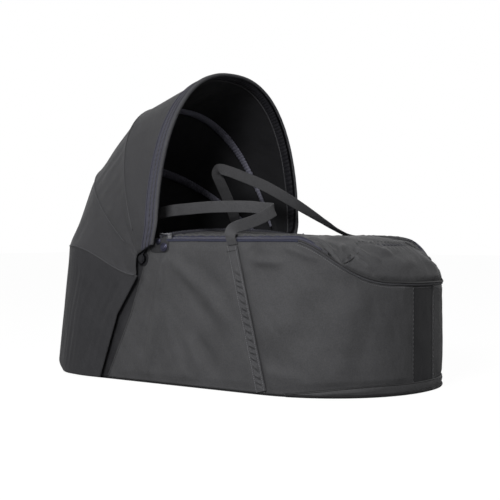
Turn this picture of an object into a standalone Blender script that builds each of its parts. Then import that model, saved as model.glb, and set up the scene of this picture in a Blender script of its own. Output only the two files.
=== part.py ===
"""Soft carrycot with a folding three-hoop hood, a zipped cover and two webbing handles.

Metres, +Z up, +X towards the foot end, right side at -Y. The body is cloth over foam boards
on a stiff base; the hood turns on three stacked hoop eyes at each side.
"""
import math

import bmesh
import bpy
from mathutils import Vector

# overall sizes
LENGTH = 0.760
HALF_LENGTH = LENGTH / 2
BODY_HALF_WIDTH = 0.190
RIM_HEIGHT = 0.246
HEAD_RIM_HEIGHT = 0.205
FOOT_LOW_DROP = 0.0660
FOOT_TIP_DROP = 0.0680
CROWN_RISE = 0.001
FOOT_LOW_HEIGHT = RIM_HEIGHT - FOOT_LOW_DROP
FOOT_TIP_HEIGHT = RIM_HEIGHT - FOOT_TIP_DROP
CROWN_HEIGHT = RIM_HEIGHT + CROWN_RISE

# gaps between pieces that touch or are sewn together
CLEAR = 0.0003
LOOSE = 0.0015

# cloth, foam and board thicknesses
FABRIC = 0.0015
HOOD_FABRIC = 0.0012
LINING = 0.0012
FOAM = 0.0085
BOARD = 0.005

# plan outline of the body
HEAD_ROUND = 0.190
FOOT_ROUND = 0.190
HEAD_CENTRE_X = HEAD_ROUND - HALF_LENGTH
FOOT_CENTRE_X = HALF_LENGTH - FOOT_ROUND
SKIRT_SIDE_OFF = 0.0118
SKIRT_TIP_OFF = 0.008
HEAD_REACH = HALF_LENGTH + HEAD_CENTRE_X - SKIRT_TIP_OFF
FOOT_REACH = HALF_LENGTH - FOOT_CENTRE_X
HEAD_LEAN_SHARE = 0.222
FOOT_POWER = 2.1

# rim line along the length
RIM_DROP_TOP_BACK = 0.220
RIM_DROP_LONG = 0.055
RIM_DROP_TOP_X = FOOT_CENTRE_X - RIM_DROP_TOP_BACK
RIM_DROP_LOW_X = RIM_DROP_TOP_X - RIM_DROP_LONG
FOAM_SPLIT_X = RIM_DROP_LOW_X
FOOT_DROP_START = 0.065
FOOT_DROP_LONG = 0.115
FOOT_DROP_TOP_X = FOOT_CENTRE_X + FOOT_DROP_START
FOOT_DROP_LOW_X = FOOT_DROP_TOP_X + FOOT_DROP_LONG
BASE_SEAM = 0.0033
FOOT_BASE_SEAM = 0.0178
BASE_RISE_START = 0.025
BASE_RISE_LONG = 0.152
BASE_RISE_START_X = FOOT_CENTRE_X + BASE_RISE_START
BASE_RISE_END_X = BASE_RISE_START_X + BASE_RISE_LONG
SLEEVE_START = 0.050
SLEEVE_START_X = FOOT_CENTRE_X + SLEEVE_START
SEAM_DROP = 0.0025
FABRIC_TOP_DROP = SEAM_DROP + CLEAR
BINDING = 0.0065

# slanted seam between side panel and head panel, and the seams of the foot strip
HEAD_SEAM_TOP_BACK = 0.011
HEAD_SEAM_MID_BACK = 0.045
HEAD_SEAM_LOW_BACK = 0.058
HEAD_SEAM_STEADY_BACK = 0.016
HEAD_SEAM_TOP_DROP = 0.010
HEAD_SEAM_MID_DROP = 0.129
HEAD_SEAM_TOP = (RIM_DROP_TOP_X - HEAD_SEAM_TOP_BACK, RIM_HEIGHT - HEAD_SEAM_TOP_DROP)
HEAD_SEAM_MID = (HEAD_SEAM_TOP[0] - HEAD_SEAM_MID_BACK, RIM_HEIGHT - HEAD_SEAM_MID_DROP)
HEAD_SEAM_LOW = (HEAD_SEAM_MID[0] - HEAD_SEAM_LOW_BACK, BASE_SEAM)
HEAD_PANEL_STEADY_X = HEAD_SEAM_LOW[0] - HEAD_SEAM_STEADY_BACK
FOOT_STRIP_HALF = 0.031

# mattress
MATTRESS_GAP = 0.004
MATTRESS_SIDE = 0.019
MATTRESS_CROWN = 0.009
MATTRESS_DRAW_IN = 0.006

# foot cover and apron
LID_EDGE = 0.0036
DOME_WIDTH = 0.100
COVER_START = 0.045
COVER_TIP_BACK = 0.023
COVER_START_X = FOOT_CENTRE_X + COVER_START
COVER_TIP_X = COVER_START_X - COVER_TIP_BACK
COVER_BLEND = 0.012
COVER_BLEND_WAIT = 0.016
APRON_HEAD_BACK = 0.2065
APRON_HEAD_X = FOOT_CENTRE_X - APRON_HEAD_BACK
APRON_PUFF = 0.0085
GATHER_WIDTH = 0.004
GATHER_THICK = 0.0012
GATHER_ANGLE = 56.0
HEM_ROLL_DEEP = 0.0045
HEM_ROLL_HIGH = 0.0085

# zip
ZIP_START_AHEAD = 0.0145
ZIP_END = 0.1035
ZIP_START_X = APRON_HEAD_X + ZIP_START_AHEAD
ZIP_END_X = FOOT_CENTRE_X + ZIP_END
COVER_BLEND_START_X = ZIP_END_X + COVER_BLEND_WAIT
ZIP_EDGE = 0.0002
ZIP_WIDE = 0.003
ZIP_HIGH = 0.005
SLIDER_AHEAD = 0.007
SLIDER_X = ZIP_START_X + SLIDER_AHEAD
SLIDER_LONG = 0.009
SLIDER_END_SHARE = 0.86
SLIDER_FLANGE = 0.0011
SLIDER_TOP = 0.0035
SLIDER_FLANGE_DROP = 0.003
BRIDGE_WIRE = 0.0006
PULL_WIRE = 0.0007
PULL_LONG = 0.022
PULL_HALF_WIDE = 0.0035
PULL_TILT = 3.0
PULL_GAP = 0.0004
PULL_LIFT = PULL_WIRE + PULL_GAP

# webbing
WEB_WIDE = 0.020
WEB_THICK = 0.0016
WEB_EDGE = 0.0004
STRAP_FRONT_AHEAD = 0.0105
STRAP_REAR_AHEAD = 0.008
STRAP_LOW_RISE = 0.0027
STRAP_TOP_GAP = 0.0034
FRONT_STRAP_LOW_X = FOOT_CENTRE_X + STRAP_FRONT_AHEAD
REAR_STRAP_LOW_X = HEAD_CENTRE_X + STRAP_REAR_AHEAD
STRAP_LOW_Z = BASE_SEAM + STRAP_LOW_RISE
FRONT_ANCHOR_BACK = 0.048
REAR_ANCHOR_AHEAD = 0.040
FRONT_ANCHOR_DROP = 0.010
REAR_ANCHOR_RISE = 0.0002
FRONT_ANCHOR_X = FOOT_CENTRE_X - FRONT_ANCHOR_BACK
REAR_ANCHOR_X = HEAD_CENTRE_X + REAR_ANCHOR_AHEAD
FRONT_ANCHOR_Z = RIM_HEIGHT - FRONT_ANCHOR_DROP
REAR_ANCHOR_Z = HEAD_RIM_HEIGHT + REAR_ANCHOR_RISE
ANCHOR_OUT = CLEAR + WEB_THICK / 2
ANCHOR_SPAN = FRONT_ANCHOR_X - REAR_ANCHOR_X

# hood: pivot, hoops and cloth
PIVOT_BACK = 0.026
PIVOT_DROP = 0.0347
PIVOT_X = RIM_DROP_TOP_X - PIVOT_BACK
PIVOT_Z = RIM_HEIGHT - PIVOT_DROP
PLATE_RADIUS = 0.013
PLATE_THICK = 0.0015
PIN_RADIUS = 0.0025
PIN_HOLE_RADIUS = 0.00258
EYE_RADIUS = 0.008
EYE_THICK = 0.0016
HOOP_THICK = 0.0012
HOOP_WIDE = 0.005
HOOP_START = 0.0052
CAP_RADIUS = 0.006
CAP_THICK = 0.0012
HOOD_HALF_WIDTH = BODY_HALF_WIDTH + SKIRT_SIDE_OFF
HOOP_UNDER_CLOTH = 0.00315
FRONT_FOOT_AHEAD = 0.0357
FRONT_FOOT_RISE = 0.0164
FRONT_FOOT_X = PIVOT_X + FRONT_FOOT_AHEAD
FRONT_FOOT_Z = PIVOT_Z + FRONT_FOOT_RISE
FRONT_BLEND = 0.050
FRONT_FOOT_DRAW = 0.008
FRONT_ANGLE, MIDDLE_ANGLE, REAR_ANGLE = 89.1, 109.4, 140.7
HOOD_REACH = HALF_LENGTH + PIVOT_X
FRONT_RISE_SHARE, MIDDLE_RISE_SHARE, REAR_RISE_SHARE = 0.9660, 0.9133, 0.8543
FRONT_RISE = HOOD_REACH * FRONT_RISE_SHARE
MIDDLE_RISE = HOOD_REACH * MIDDLE_RISE_SHARE
REAR_RISE = HOOD_REACH * REAR_RISE_SHARE
FRONT_POWER, MIDDLE_POWER, REAR_POWER = 2.36, 2.52, 2.40
HOOD_SAG_SHARE = 0.002
FAN_START = 0.004
HEM_WIDTH = 0.022

# skirt of the hood round the head end
SKIRT_TOP_BACK = 0.0039
SKIRT_MID_BACK = 0.0520
SKIRT_LOW_BACK = 0.0949
SKIRT_TOP_DROP = 0.0291
SKIRT_MID_DROP = 0.0963
SKIRT_FRONT_TOP = (PIVOT_X - SKIRT_TOP_BACK, PIVOT_Z - SKIRT_TOP_DROP)
SKIRT_FRONT_MID = (PIVOT_X - SKIRT_MID_BACK, PIVOT_Z - SKIRT_MID_DROP)
SKIRT_FRONT_LOW = (PIVOT_X - SKIRT_LOW_BACK, BASE_SEAM)
SKIRT_SEAM_FRONT_DROP = 0.0278
SKIRT_SEAM_BACK_RISE = 0.0212
SKIRT_SEAM_RISE_BACK = 0.169
SKIRT_SEAM_FRONT_Z = PIVOT_Z - SKIRT_SEAM_FRONT_DROP
SKIRT_SEAM_BACK_Z = PIVOT_Z + SKIRT_SEAM_BACK_RISE
SKIRT_SEAM_RISE_X = PIVOT_X - SKIRT_SEAM_RISE_BACK

# snap studs and hood tabs
TAB_LONG = 0.043
TAB_AHEAD = 0.016
TAB_HIGH = 0.025
TAB_RISE = 0.0102
TAB_BACK_X = PIVOT_X + TAB_AHEAD
TAB_FRONT_X = TAB_BACK_X + TAB_LONG
TAB_LOW_Z = PIVOT_Z + TAB_RISE
TAB_HIGH_Z = TAB_LOW_Z + TAB_HIGH
UPPER_STUD_AHEAD = 0.0205
UPPER_STUD_RISE = 0.0195
UPPER_STUD_RADIUS = 0.0055
LOWER_STUD_AHEAD = 0.0330
LOWER_STUD_RISE = 0.0098
LOWER_STUD_RADIUS = 0.0075
STUD_SPOTS = ((TAB_BACK_X + UPPER_STUD_AHEAD, TAB_LOW_Z + UPPER_STUD_RISE, UPPER_STUD_RADIUS),
              (TAB_BACK_X + LOWER_STUD_AHEAD, TAB_LOW_Z + LOWER_STUD_RISE, LOWER_STUD_RADIUS))
STUD_THICK = 0.0026

# resolution
ARC_STEPS = 12
FOOT_STEPS = 16
HOOP_STEPS = 38
HOOD_ROWS = 5
WALL_ROWS = 6
SIDES = (("right", -1), ("left", 1))

CLOTH = (0.060, 0.060, 0.064)
CLOTH_DARK = (0.036, 0.036, 0.040)
TAPE = (0.050, 0.050, 0.066)
WEBBING = (0.052, 0.052, 0.055)
INSIDE = (0.020, 0.020, 0.022)
BLACK = (0.012, 0.012, 0.013)


# helpers for numbers and curves
def clamp(share):
    return max(0.0, min(1.0, share))


def smooth(share):
    share = clamp(share)
    return share * share * (3 - 2 * share)


def mix(first, second, share):
    return first + (second - first) * share


def signed_power(value, power):
    return math.copysign(abs(value) ** power, value)


def edge_x(z, low, middle, high):
    """Place of a slanted edge at one height, from its low, middle and high points."""
    if z < middle[1]:
        return mix(low[0], middle[0], clamp((z - low[1]) / (middle[1] - low[1])))
    return mix(middle[0], high[0], clamp((z - middle[1]) / (high[1] - middle[1])))


def rim_height(x):
    """Height of the rim (zip line) at one place along the length."""
    if x < RIM_DROP_TOP_X:
        return mix(HEAD_RIM_HEIGHT, RIM_HEIGHT,
                   smooth((x - RIM_DROP_LOW_X) / (RIM_DROP_TOP_X - RIM_DROP_LOW_X)))
    drop = (x - FOOT_DROP_TOP_X) / (FOOT_DROP_LOW_X - FOOT_DROP_TOP_X)
    tail = clamp((x - FOOT_DROP_LOW_X) / (HALF_LENGTH - FOOT_DROP_LOW_X))
    low = mix(FOOT_LOW_HEIGHT, FOOT_TIP_HEIGHT, tail)
    return mix(RIM_HEIGHT, low, smooth(drop))


def base_seam(x):
    """Height of the seam between the base and the body cloth."""
    rise = smooth((x - BASE_RISE_START_X) / (BASE_RISE_END_X - BASE_RISE_START_X))
    return mix(BASE_SEAM, FOOT_BASE_SEAM, rise)


def outline(place, inset, z):
    """Point of the body outline: place -3..3 runs foot tip, right side, head tip, left, foot."""
    place = (place + 3) % 6 - 3
    side = -1 if place < 0 else 1
    along = abs(place) - 1
    wide = BODY_HALF_WIDTH - inset
    if along < 0:
        angle = (along + 1) * math.pi / 2
        reach = HEAD_REACH - HEAD_LEAN_SHARE * (z - BASE_SEAM) - inset
        x = HEAD_CENTRE_X - reach * math.cos(angle)
        return Vector((x, side * wide * math.sin(angle), z))
    if along <= 1:
        return Vector((mix(HEAD_CENTRE_X, FOOT_CENTRE_X, along), side * wide, z))
    angle = (along - 1) * math.pi / 2
    power = 2 / FOOT_POWER
    x = FOOT_CENTRE_X + (FOOT_REACH - inset) * abs(math.sin(angle)) ** power
    return Vector((x, side * wide * abs(math.cos(angle)) ** power, z))


def outline_x(place):
    return outline(place, 0.0, BASE_SEAM).x


def straight_place(x, side):
    """Place on the outline of a point of the straight side."""
    share = (x - HEAD_CENTRE_X) / (FOOT_CENTRE_X - HEAD_CENTRE_X)
    return side * (1 + share)


def foot_place(x, side):
    """Place on the outline of a point of the foot curve, from its x."""
    share = clamp((x - FOOT_CENTRE_X) / FOOT_REACH) ** (FOOT_POWER / 2)
    return side * (2 + math.asin(share) * 2 / math.pi)


def foot_strip_place(side):
    share = (FOOT_STRIP_HALF / BODY_HALF_WIDTH) ** (FOOT_POWER / 2)
    return side * (2 + math.acos(share) * 2 / math.pi)


def side_stations():
    """Stations 0..3 from the head tip along one side to the foot tip, shared by all layers."""
    stations = [step / ARC_STEPS for step in range(ARC_STEPS)]
    drop_steps = 6
    low = straight_place(RIM_DROP_LOW_X, 1)
    high = straight_place(RIM_DROP_TOP_X, 1)
    stations += [1.0, mix(1.0, low, 0.5)]
    stations += [mix(low, high, step / drop_steps) for step in range(drop_steps + 1)]
    stations += [mix(high, 2.0, share) for share in (0.2, 0.5, 0.8)]
    stations += [2 + step / FOOT_STEPS for step in range(FOOT_STEPS + 1)]
    return stations


STATIONS = side_stations()
RING = [-place for place in reversed(STATIONS)] + STATIONS[1:-1]


def between(first, last):
    """Shared stations from one place to another, with both ends, going up."""
    ring = sorted(set(RING + [place + 6 for place in RING]))
    near = 1e-4
    inside = [place for place in ring if first + near < place < last - near]
    return [first] + inside + [last]


# helpers for meshes
def material(name, colour, roughness, metallic=0.0):
    made = bpy.data.materials.get(name)
    if made:
        return made
    made = bpy.data.materials.new(name)
    made.use_nodes = True
    shader = made.node_tree.nodes["Principled BSDF"]
    shader.inputs["Base Color"].default_value = (*colour, 1.0)
    shader.inputs["Roughness"].default_value = roughness
    shader.inputs["Metallic"].default_value = metallic
    made.diffuse_color = (*colour, 1.0)
    return made


def finish(name, shape, look, sharp=35.0, origin=None):
    """Turn a bmesh into a named object with outward faces and its material."""
    bmesh.ops.recalc_face_normals(shape, faces=shape.faces)
    mesh = bpy.data.meshes.new(name)
    shape.to_mesh(mesh)
    shape.free()
    for face in mesh.polygons:
        face.use_smooth = True
    mesh.set_sharp_from_angle(angle=math.radians(sharp))
    body = bpy.data.objects.new(name, mesh)
    bpy.context.collection.objects.link(body)
    mesh.materials.append(look)
    if origin is not None:
        move = Vector(origin)
        for vertex in mesh.vertices:
            vertex.co -= move
        body.location = move
    return body


def sheet(name, columns, rows, point, look, ring=False, tip=False, sharp=35.0, origin=None):
    """Closed body between an outer grid (face 0) and an inner grid (face 1) of points."""
    shape = bmesh.new()
    faces = []
    for face in (0, 1):
        grid = []
        for column in range(columns + (0 if ring else 1)):
            last = rows if tip else rows + 1
            grid.append([shape.verts.new(point(column, row, face)) for row in range(last)])
        if tip:
            end = shape.verts.new(point(0, rows, face))
            for line in grid:
                line.append(end)
        faces.append(grid)

    def add(corners):
        kept = []
        for corner in corners:
            if corner not in kept:
                kept.append(corner)
        if len(kept) > 2:
            shape.faces.new(kept)

    count = len(faces[0])
    for column in range(columns):
        here, there = column, (column + 1) % count
        for row in range(rows):
            outer, inner = faces
            add((outer[here][row], outer[there][row], outer[there][row + 1], outer[here][row + 1]))
            add((inner[here][row + 1], inner[there][row + 1], inner[there][row], inner[here][row]))
        add((faces[0][here][0], faces[1][here][0], faces[1][there][0], faces[0][there][0]))
        if not tip:
            add((faces[0][here][rows], faces[0][there][rows],
                 faces[1][there][rows], faces[1][here][rows]))
    if not ring:
        for column in (0, columns):
            for row in range(rows):
                add((faces[0][column][row], faces[0][column][row + 1],
                     faces[1][column][row + 1], faces[1][column][row]))
    return finish(name, shape, look, sharp, origin)


def sweep_shape(sections, closed=False):
    """Bmesh of a body through sections of the same number of points."""
    shape = bmesh.new()
    rings = [[shape.verts.new(point) for point in section] for section in sections]
    count = len(rings[0])
    spans = len(rings) if closed else len(rings) - 1
    for index in range(spans):
        first, second = rings[index], rings[(index + 1) % len(rings)]
        for corner in range(count):
            after = (corner + 1) % count
            shape.faces.new((first[corner], first[after], second[after], second[corner]))
    if not closed:
        shape.faces.new(rings[0])
        shape.faces.new(rings[-1])
    return shape


def tangents(path, closed=False):
    """Unit direction at each point of a path."""
    result = []
    count = len(path)
    for index in range(count):
        if closed:
            step = path[(index + 1) % count] - path[index - 1]
        else:
            step = path[min(index + 1, count - 1)] - path[max(index - 1, 0)]
        result.append(step.normalized())
    return result


def strap_sections(path, wide_ways, wide, thick, edge):
    """Flat sections with small cut corners, wide along the given way at each point."""
    sections = []
    for place, way, along in zip(path, wide_ways, tangents(path)):
        across = (way - along * way.dot(along)).normalized()
        up = along.cross(across)
        half, rise = wide / 2, thick / 2
        corners = ((half, rise - edge), (half - edge, rise), (edge - half, rise),
                   (-half, rise - edge), (-half, edge - rise), (edge - half, -rise),
                   (half - edge, -rise), (half, edge - rise))
        sections.append([place + across * a + up * b for a, b in corners])
    return sections


def round_sections(path, radius, sides, up_hint, closed=False, squash=1.0):
    """Round sections about a path."""
    sections = []
    for place, along in zip(path, tangents(path, closed)):
        across = along.cross(up_hint).normalized()
        up = across.cross(along)
        ring = []
        for index in range(sides):
            angle = 2 * math.pi * index / sides
            ring.append(place + across * radius * math.cos(angle)
                        + up * radius * squash * math.sin(angle))
        sections.append(ring)
    return sections


def turned_shape(profile, centre, side, segments=24):
    """Bmesh of a body turned about the Y way through a centre, out from the body's side.

    The profile is a closed loop of (radius, distance out) points; radius 0 makes a pole.
    """
    shape = bmesh.new()
    rings = []
    for radius, out in profile:
        y = side * out
        if radius == 0:
            rings.append([shape.verts.new((centre[0], y, centre[1]))])
            continue
        ring = []
        for index in range(segments):
            angle = 2 * math.pi * index / segments
            ring.append(shape.verts.new((centre[0] + radius * math.cos(angle), y,
                                         centre[1] + radius * math.sin(angle))))
        rings.append(ring)
    pairs = list(zip(rings, rings[1:]))
    if profile[0][0] != 0:
        pairs.append((rings[-1], rings[0]))
    for first, second in pairs:
        for index in range(segments):
            after = (index + 1) % segments
            corners = [first[index % len(first)], first[after % len(first)],
                       second[after % len(second)], second[index % len(second)]]
            kept = []
            for corner in corners:
                if corner not in kept:
                    kept.append(corner)
            shape.faces.new(kept)
    return shape


def join_boolean(body, tool, way):
    """Cut or join with an exact Boolean; the tool stays hidden in the file."""
    change = body.modifiers.new(way.lower(), "BOOLEAN")
    change.operation = way
    change.solver = "EXACT"
    change.object = tool
    tool.hide_render = True
    tool.display_type = "WIRE"
    view = bpy.context.evaluated_depsgraph_get()
    mesh = bpy.data.meshes.new_from_object(body.evaluated_get(view))
    body.modifiers.clear()
    old = body.data
    body.data = mesh
    mesh.name = body.name
    bpy.data.meshes.remove(old)
    bpy.data.objects.remove(tool, do_unlink=True)


# base, walls and lining
INSET_FOAM = FABRIC + CLEAR
INSET_FOAM_IN = INSET_FOAM + FOAM
INSET_LINING = INSET_FOAM_IN + CLEAR
INSET_INNER = INSET_LINING + LINING
BOARD_Z = BASE_SEAM
BOARD_TOP = BOARD_Z + BOARD
MATTRESS_Z = BOARD_TOP + CLEAR


def fabric_top(x):
    return rim_height(x) - FABRIC_TOP_DROP


def foam_top(x):
    return fabric_top(x) - BINDING - CLEAR


def plate(name, inset, low, high, look):
    """Flat plate with the body outline."""
    shape = bmesh.new()
    rings = []
    for z in (low, high):
        rings.append([shape.verts.new(outline(place, inset, z)) for place in RING])
    count = len(RING)
    for index in range(count):
        after = (index + 1) % count
        shape.faces.new((rings[0][index], rings[0][after], rings[1][after], rings[1][index]))
    shape.faces.new(list(reversed(rings[0])))
    shape.faces.new(rings[1])
    return finish(name, shape, look)


def wall(name, places, outer, inner, low, high, look, rows=2, ring=False):
    """Upright band of the body between two insets; low and high are heights by x."""
    def point(column, row, face):
        place = places[column]
        x = outline_x(place)
        z = mix(low(x), high(x), row / rows)
        return outline(place, inner if face else outer, z)
    columns = len(places) if ring else len(places) - 1
    return sheet(name, columns, rows, point, look, ring=ring)


def build_base():
    look = material("base_fabric", BLACK, 0.85)
    plate("base_tray", 0.0, 0.0, BASE_SEAM - CLEAR, look)
    first = foot_place(SLEEVE_START_X, 1)
    places = between(first, 6 - first)
    wall("foot_sleeve", places, 0.0, FABRIC, lambda x: BASE_SEAM,
         lambda x: base_seam(x) - CLEAR, look, rows=1)
    plate("base_board", INSET_INNER + LOOSE, BOARD_Z, BOARD_TOP,
          material("board", (0.10, 0.085, 0.07), 0.7))


def build_foam():
    look = material("foam", (0.30, 0.30, 0.31), 0.9)
    split = straight_place(FOAM_SPLIT_X, 1)
    for name, first, last in (("foam_head", -split, split), ("foam_left", split, 2.0),
                              ("foam_foot", 2.0, 4.0), ("foam_right", 4.0, 6 - split)):
        gap = CLEAR / (FOOT_CENTRE_X - HEAD_CENTRE_X) / 2
        wall(name, between(first + gap, last - gap), INSET_FOAM, INSET_FOAM_IN,
             lambda x: BASE_SEAM, foam_top, look, rows=WALL_ROWS)


def build_lining():
    wall("lining", RING, INSET_LINING, INSET_INNER, lambda x: BASE_SEAM, foam_top,
         material("lining_cloth", INSIDE, 0.9), rows=WALL_ROWS, ring=True)
    wall("rim_binding", RING, INSET_FOAM, INSET_INNER, lambda x: foam_top(x) + CLEAR,
         fabric_top, material("binding_cloth", TAPE, 0.8), rows=1, ring=True)


def side_bottom(x):
    return base_seam(x) if x > SLEEVE_START_X else BASE_SEAM


def build_side_panels():
    look = material("body_cloth", CLOTH, 0.9)
    rows = 6
    for label, side in SIDES:
        first = straight_place(RIM_DROP_TOP_X, 1)
        last = foot_strip_place(1)
        strip = 2 * CLEAR / FOOT_REACH
        inner_places = between(first, last - strip)

        def point(column, row, face):
            inset = FABRIC if face else 0.0
            if column:
                place = inner_places[column - 1]
                x = outline_x(place)
                z = mix(side_bottom(x), fabric_top(x), row / rows)
                return outline(side * place, inset, z)
            z = mix(BASE_SEAM, fabric_top(HEAD_SEAM_TOP[0]), row / rows)
            x = edge_x(z, HEAD_SEAM_LOW, HEAD_SEAM_MID, HEAD_SEAM_TOP) + CLEAR / 2
            return Vector((x, side * (BODY_HALF_WIDTH - inset), z))
        sheet("side_panel_" + label, len(inner_places), rows, point, look)


def build_head_panel():
    look = material("head_cloth", CLOTH_DARK, 0.9)
    rows = 6
    edge_steps = 4
    steady = straight_place(HEAD_PANEL_STEADY_X, 1)
    middle = between(-steady, steady)
    columns = len(middle) - 1 + 2 * edge_steps

    def point(column, row, face):
        inset = FABRIC if face else 0.0
        index = column - edge_steps
        if 0 <= index < len(middle):
            place = middle[index]
            x = outline_x(place)
            return outline(place, inset, mix(BASE_SEAM, fabric_top(x), row / rows))
        side = -1 if index < 0 else 1
        away = -index if index < 0 else index - len(middle) + 1
        share = away / edge_steps
        top_x = mix(HEAD_PANEL_STEADY_X, HEAD_SEAM_TOP[0], share)
        z = mix(BASE_SEAM, fabric_top(top_x), row / rows)
        edge = edge_x(z, HEAD_SEAM_LOW, HEAD_SEAM_MID, HEAD_SEAM_TOP) - CLEAR / 2
        return Vector((mix(HEAD_PANEL_STEADY_X, edge, share), side * (BODY_HALF_WIDTH - inset), z))
    sheet("head_panel", columns, rows, point, look)


def build_foot_panel():
    first = foot_strip_place(1)
    places = between(first, 6 - first)
    wall("foot_panel", places, 0.0, FABRIC, side_bottom, fabric_top,
         material("body_cloth", CLOTH, 0.9), rows=6)


def build_mattress():
    """Crowned pad with drawn-in sides; rings from the underside to the crown."""
    side = INSET_INNER + MATTRESS_GAP
    top_z = MATTRESS_Z + MATTRESS_SIDE
    in_shares = (1.0, 0.35, 0.0, 0.0, 0.3, 1.0)
    up_shares = (0.0, 0.12, 0.38, 0.62, 0.88, 1.0)
    rings = [(side + MATTRESS_DRAW_IN * a, mix(MATTRESS_Z, top_z, b))
             for a, b in zip(in_shares, up_shares)]
    deep = HEAD_REACH - side - MATTRESS_DRAW_IN
    crown_shares = (0.06, 0.15, 0.28, 0.42, 0.56)
    rings += [(side + MATTRESS_DRAW_IN + deep * share,
               top_z + MATTRESS_CROWN * math.sqrt(1 - (1 - share / crown_shares[-1]) ** 2))
              for share in crown_shares]
    shape = bmesh.new()
    places = RING[::2]
    lines = [[shape.verts.new(outline(place, inset, z)) for place in places]
             for inset, z in rings]
    count = len(places)
    for first, second in zip(lines, lines[1:]):
        for index in range(count):
            after = (index + 1) % count
            shape.faces.new((first[index], first[after], second[after], second[index]))
    shape.faces.new(list(reversed(lines[0])))
    shape.faces.new(lines[-1])
    finish("mattress", shape, material("mattress_cloth", (0.18, 0.18, 0.19), 0.9), sharp=60.0)


# foot cover and apron share one surface
def cover_edge_inset(x):
    return LID_EDGE * (1 - smooth((x - COVER_BLEND_START_X) / COVER_BLEND))


COVER_ROWS = 12
DOME_ROWS = 8


def cover_point(place, row, face):
    """Point of the foot cover: rows climb the dome, then run in to the tip of the fan."""
    x = outline_x(place)
    edge_z = rim_height(x) - SEAM_DROP
    depth = FABRIC if face else 0.0
    if row <= DOME_ROWS:
        angle = math.pi / 2 * row / DOME_ROWS
        inset = cover_edge_inset(x) + DOME_WIDTH * (1 - math.cos(angle)) + depth * math.cos(angle)
        z = mix(edge_z, CROWN_HEIGHT, math.sin(angle)) - depth * math.sin(angle)
        return outline(place, inset, z)
    brow = outline(place, cover_edge_inset(x) + DOME_WIDTH, CROWN_HEIGHT - depth)
    tip = Vector((COVER_TIP_X, 0.0, CROWN_HEIGHT - depth))
    return brow.lerp(tip, (row - DOME_ROWS) / (COVER_ROWS - DOME_ROWS))


def build_cover():
    look = material("cover_cloth", CLOTH, 0.9)
    first = foot_place(COVER_START_X, 1)
    places = between(first, 6 - first)
    sheet("foot_cover", len(places) - 1, COVER_ROWS,
          lambda column, row, face: cover_point(places[column], row, face), look, tip=True)

    angle = math.radians(GATHER_ANGLE)
    away = DOME_WIDTH * (1 - math.cos(angle))
    start = foot_place(COVER_BLEND_START_X + COVER_BLEND, 1)
    line = between(start, 6 - start)
    half = GATHER_WIDTH / 2

    def gather(column, row, face):
        place = line[column]
        x = outline_x(place)
        edge_z = rim_height(x) - SEAM_DROP
        out = (CLEAR * 2 + GATHER_THICK) if face == 0 else CLEAR * 2
        climb = half if row else -half
        high = CROWN_HEIGHT - edge_z
        in_way, up_way = DOME_WIDTH * math.sin(angle), high * math.cos(angle)
        size = math.hypot(in_way, up_way)
        in_way, up_way = in_way / size, up_way / size
        inset = away + climb * in_way - out * up_way
        z = edge_z + high * math.sin(angle) + climb * up_way + out * in_way
        return outline(place, inset, z)
    sheet("cover_elastic", len(line) - 1, 1, gather, material("elastic", CLOTH_DARK, 0.85))


def apron_point(row, side, share, face):
    """Point of the apron: share 0 at the foot cover, 1 at its head edge."""
    start = foot_place(COVER_START_X, 1)
    foot = cover_point(side * start, row, face)
    edge = abs(cover_point(side * start, 0, 0).y)
    head_y = foot.y * (BODY_HALF_WIDTH - LID_EDGE) / edge
    x = mix(foot.x - CLEAR, APRON_HEAD_X, share)
    y = mix(foot.y, head_y, smooth(share * 2))
    bulge = 1 - (y / BODY_HALF_WIDTH) ** 2
    return Vector((x, y, foot.z + APRON_PUFF * bulge * smooth(share) ** 2))


def build_apron():
    look = material("cover_cloth", CLOTH, 0.9)
    columns = 2 * COVER_ROWS
    rows = 10

    def point(column, row, face):
        side = -1 if column <= COVER_ROWS else 1
        step = column if column <= COVER_ROWS else columns - column
        return apron_point(step, side, row / rows, face)
    sheet("apron", columns, rows, point, look)


def build_apron_hem():
    """Rolled elastic edge across the head end of the apron."""
    columns = 2 * COVER_ROWS
    deep, high = HEM_ROLL_DEEP / 2, HEM_ROLL_HIGH / 2
    centre_x = APRON_HEAD_X - CLEAR - deep
    path = []
    for column in range(columns + 1):
        side = -1 if column <= COVER_ROWS else 1
        step = column if column <= COVER_ROWS else columns - column
        top = apron_point(step, side, 1.0, 0)
        path.append(Vector((centre_x, top.y, top.z + high)))
    sides = 10
    sections = []
    for place in path:
        ring = []
        for index in range(sides):
            angle = 2 * math.pi * index / sides
            ring.append(place + Vector((deep * math.cos(angle), 0.0, high * math.sin(angle))))
        sections.append(ring)
    finish("apron_hem", sweep_shape(sections), material("elastic", CLOTH_DARK, 0.85), sharp=60.0)


# zips
def zip_centre():
    return BODY_HALF_WIDTH - ZIP_EDGE - ZIP_WIDE / 2


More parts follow.
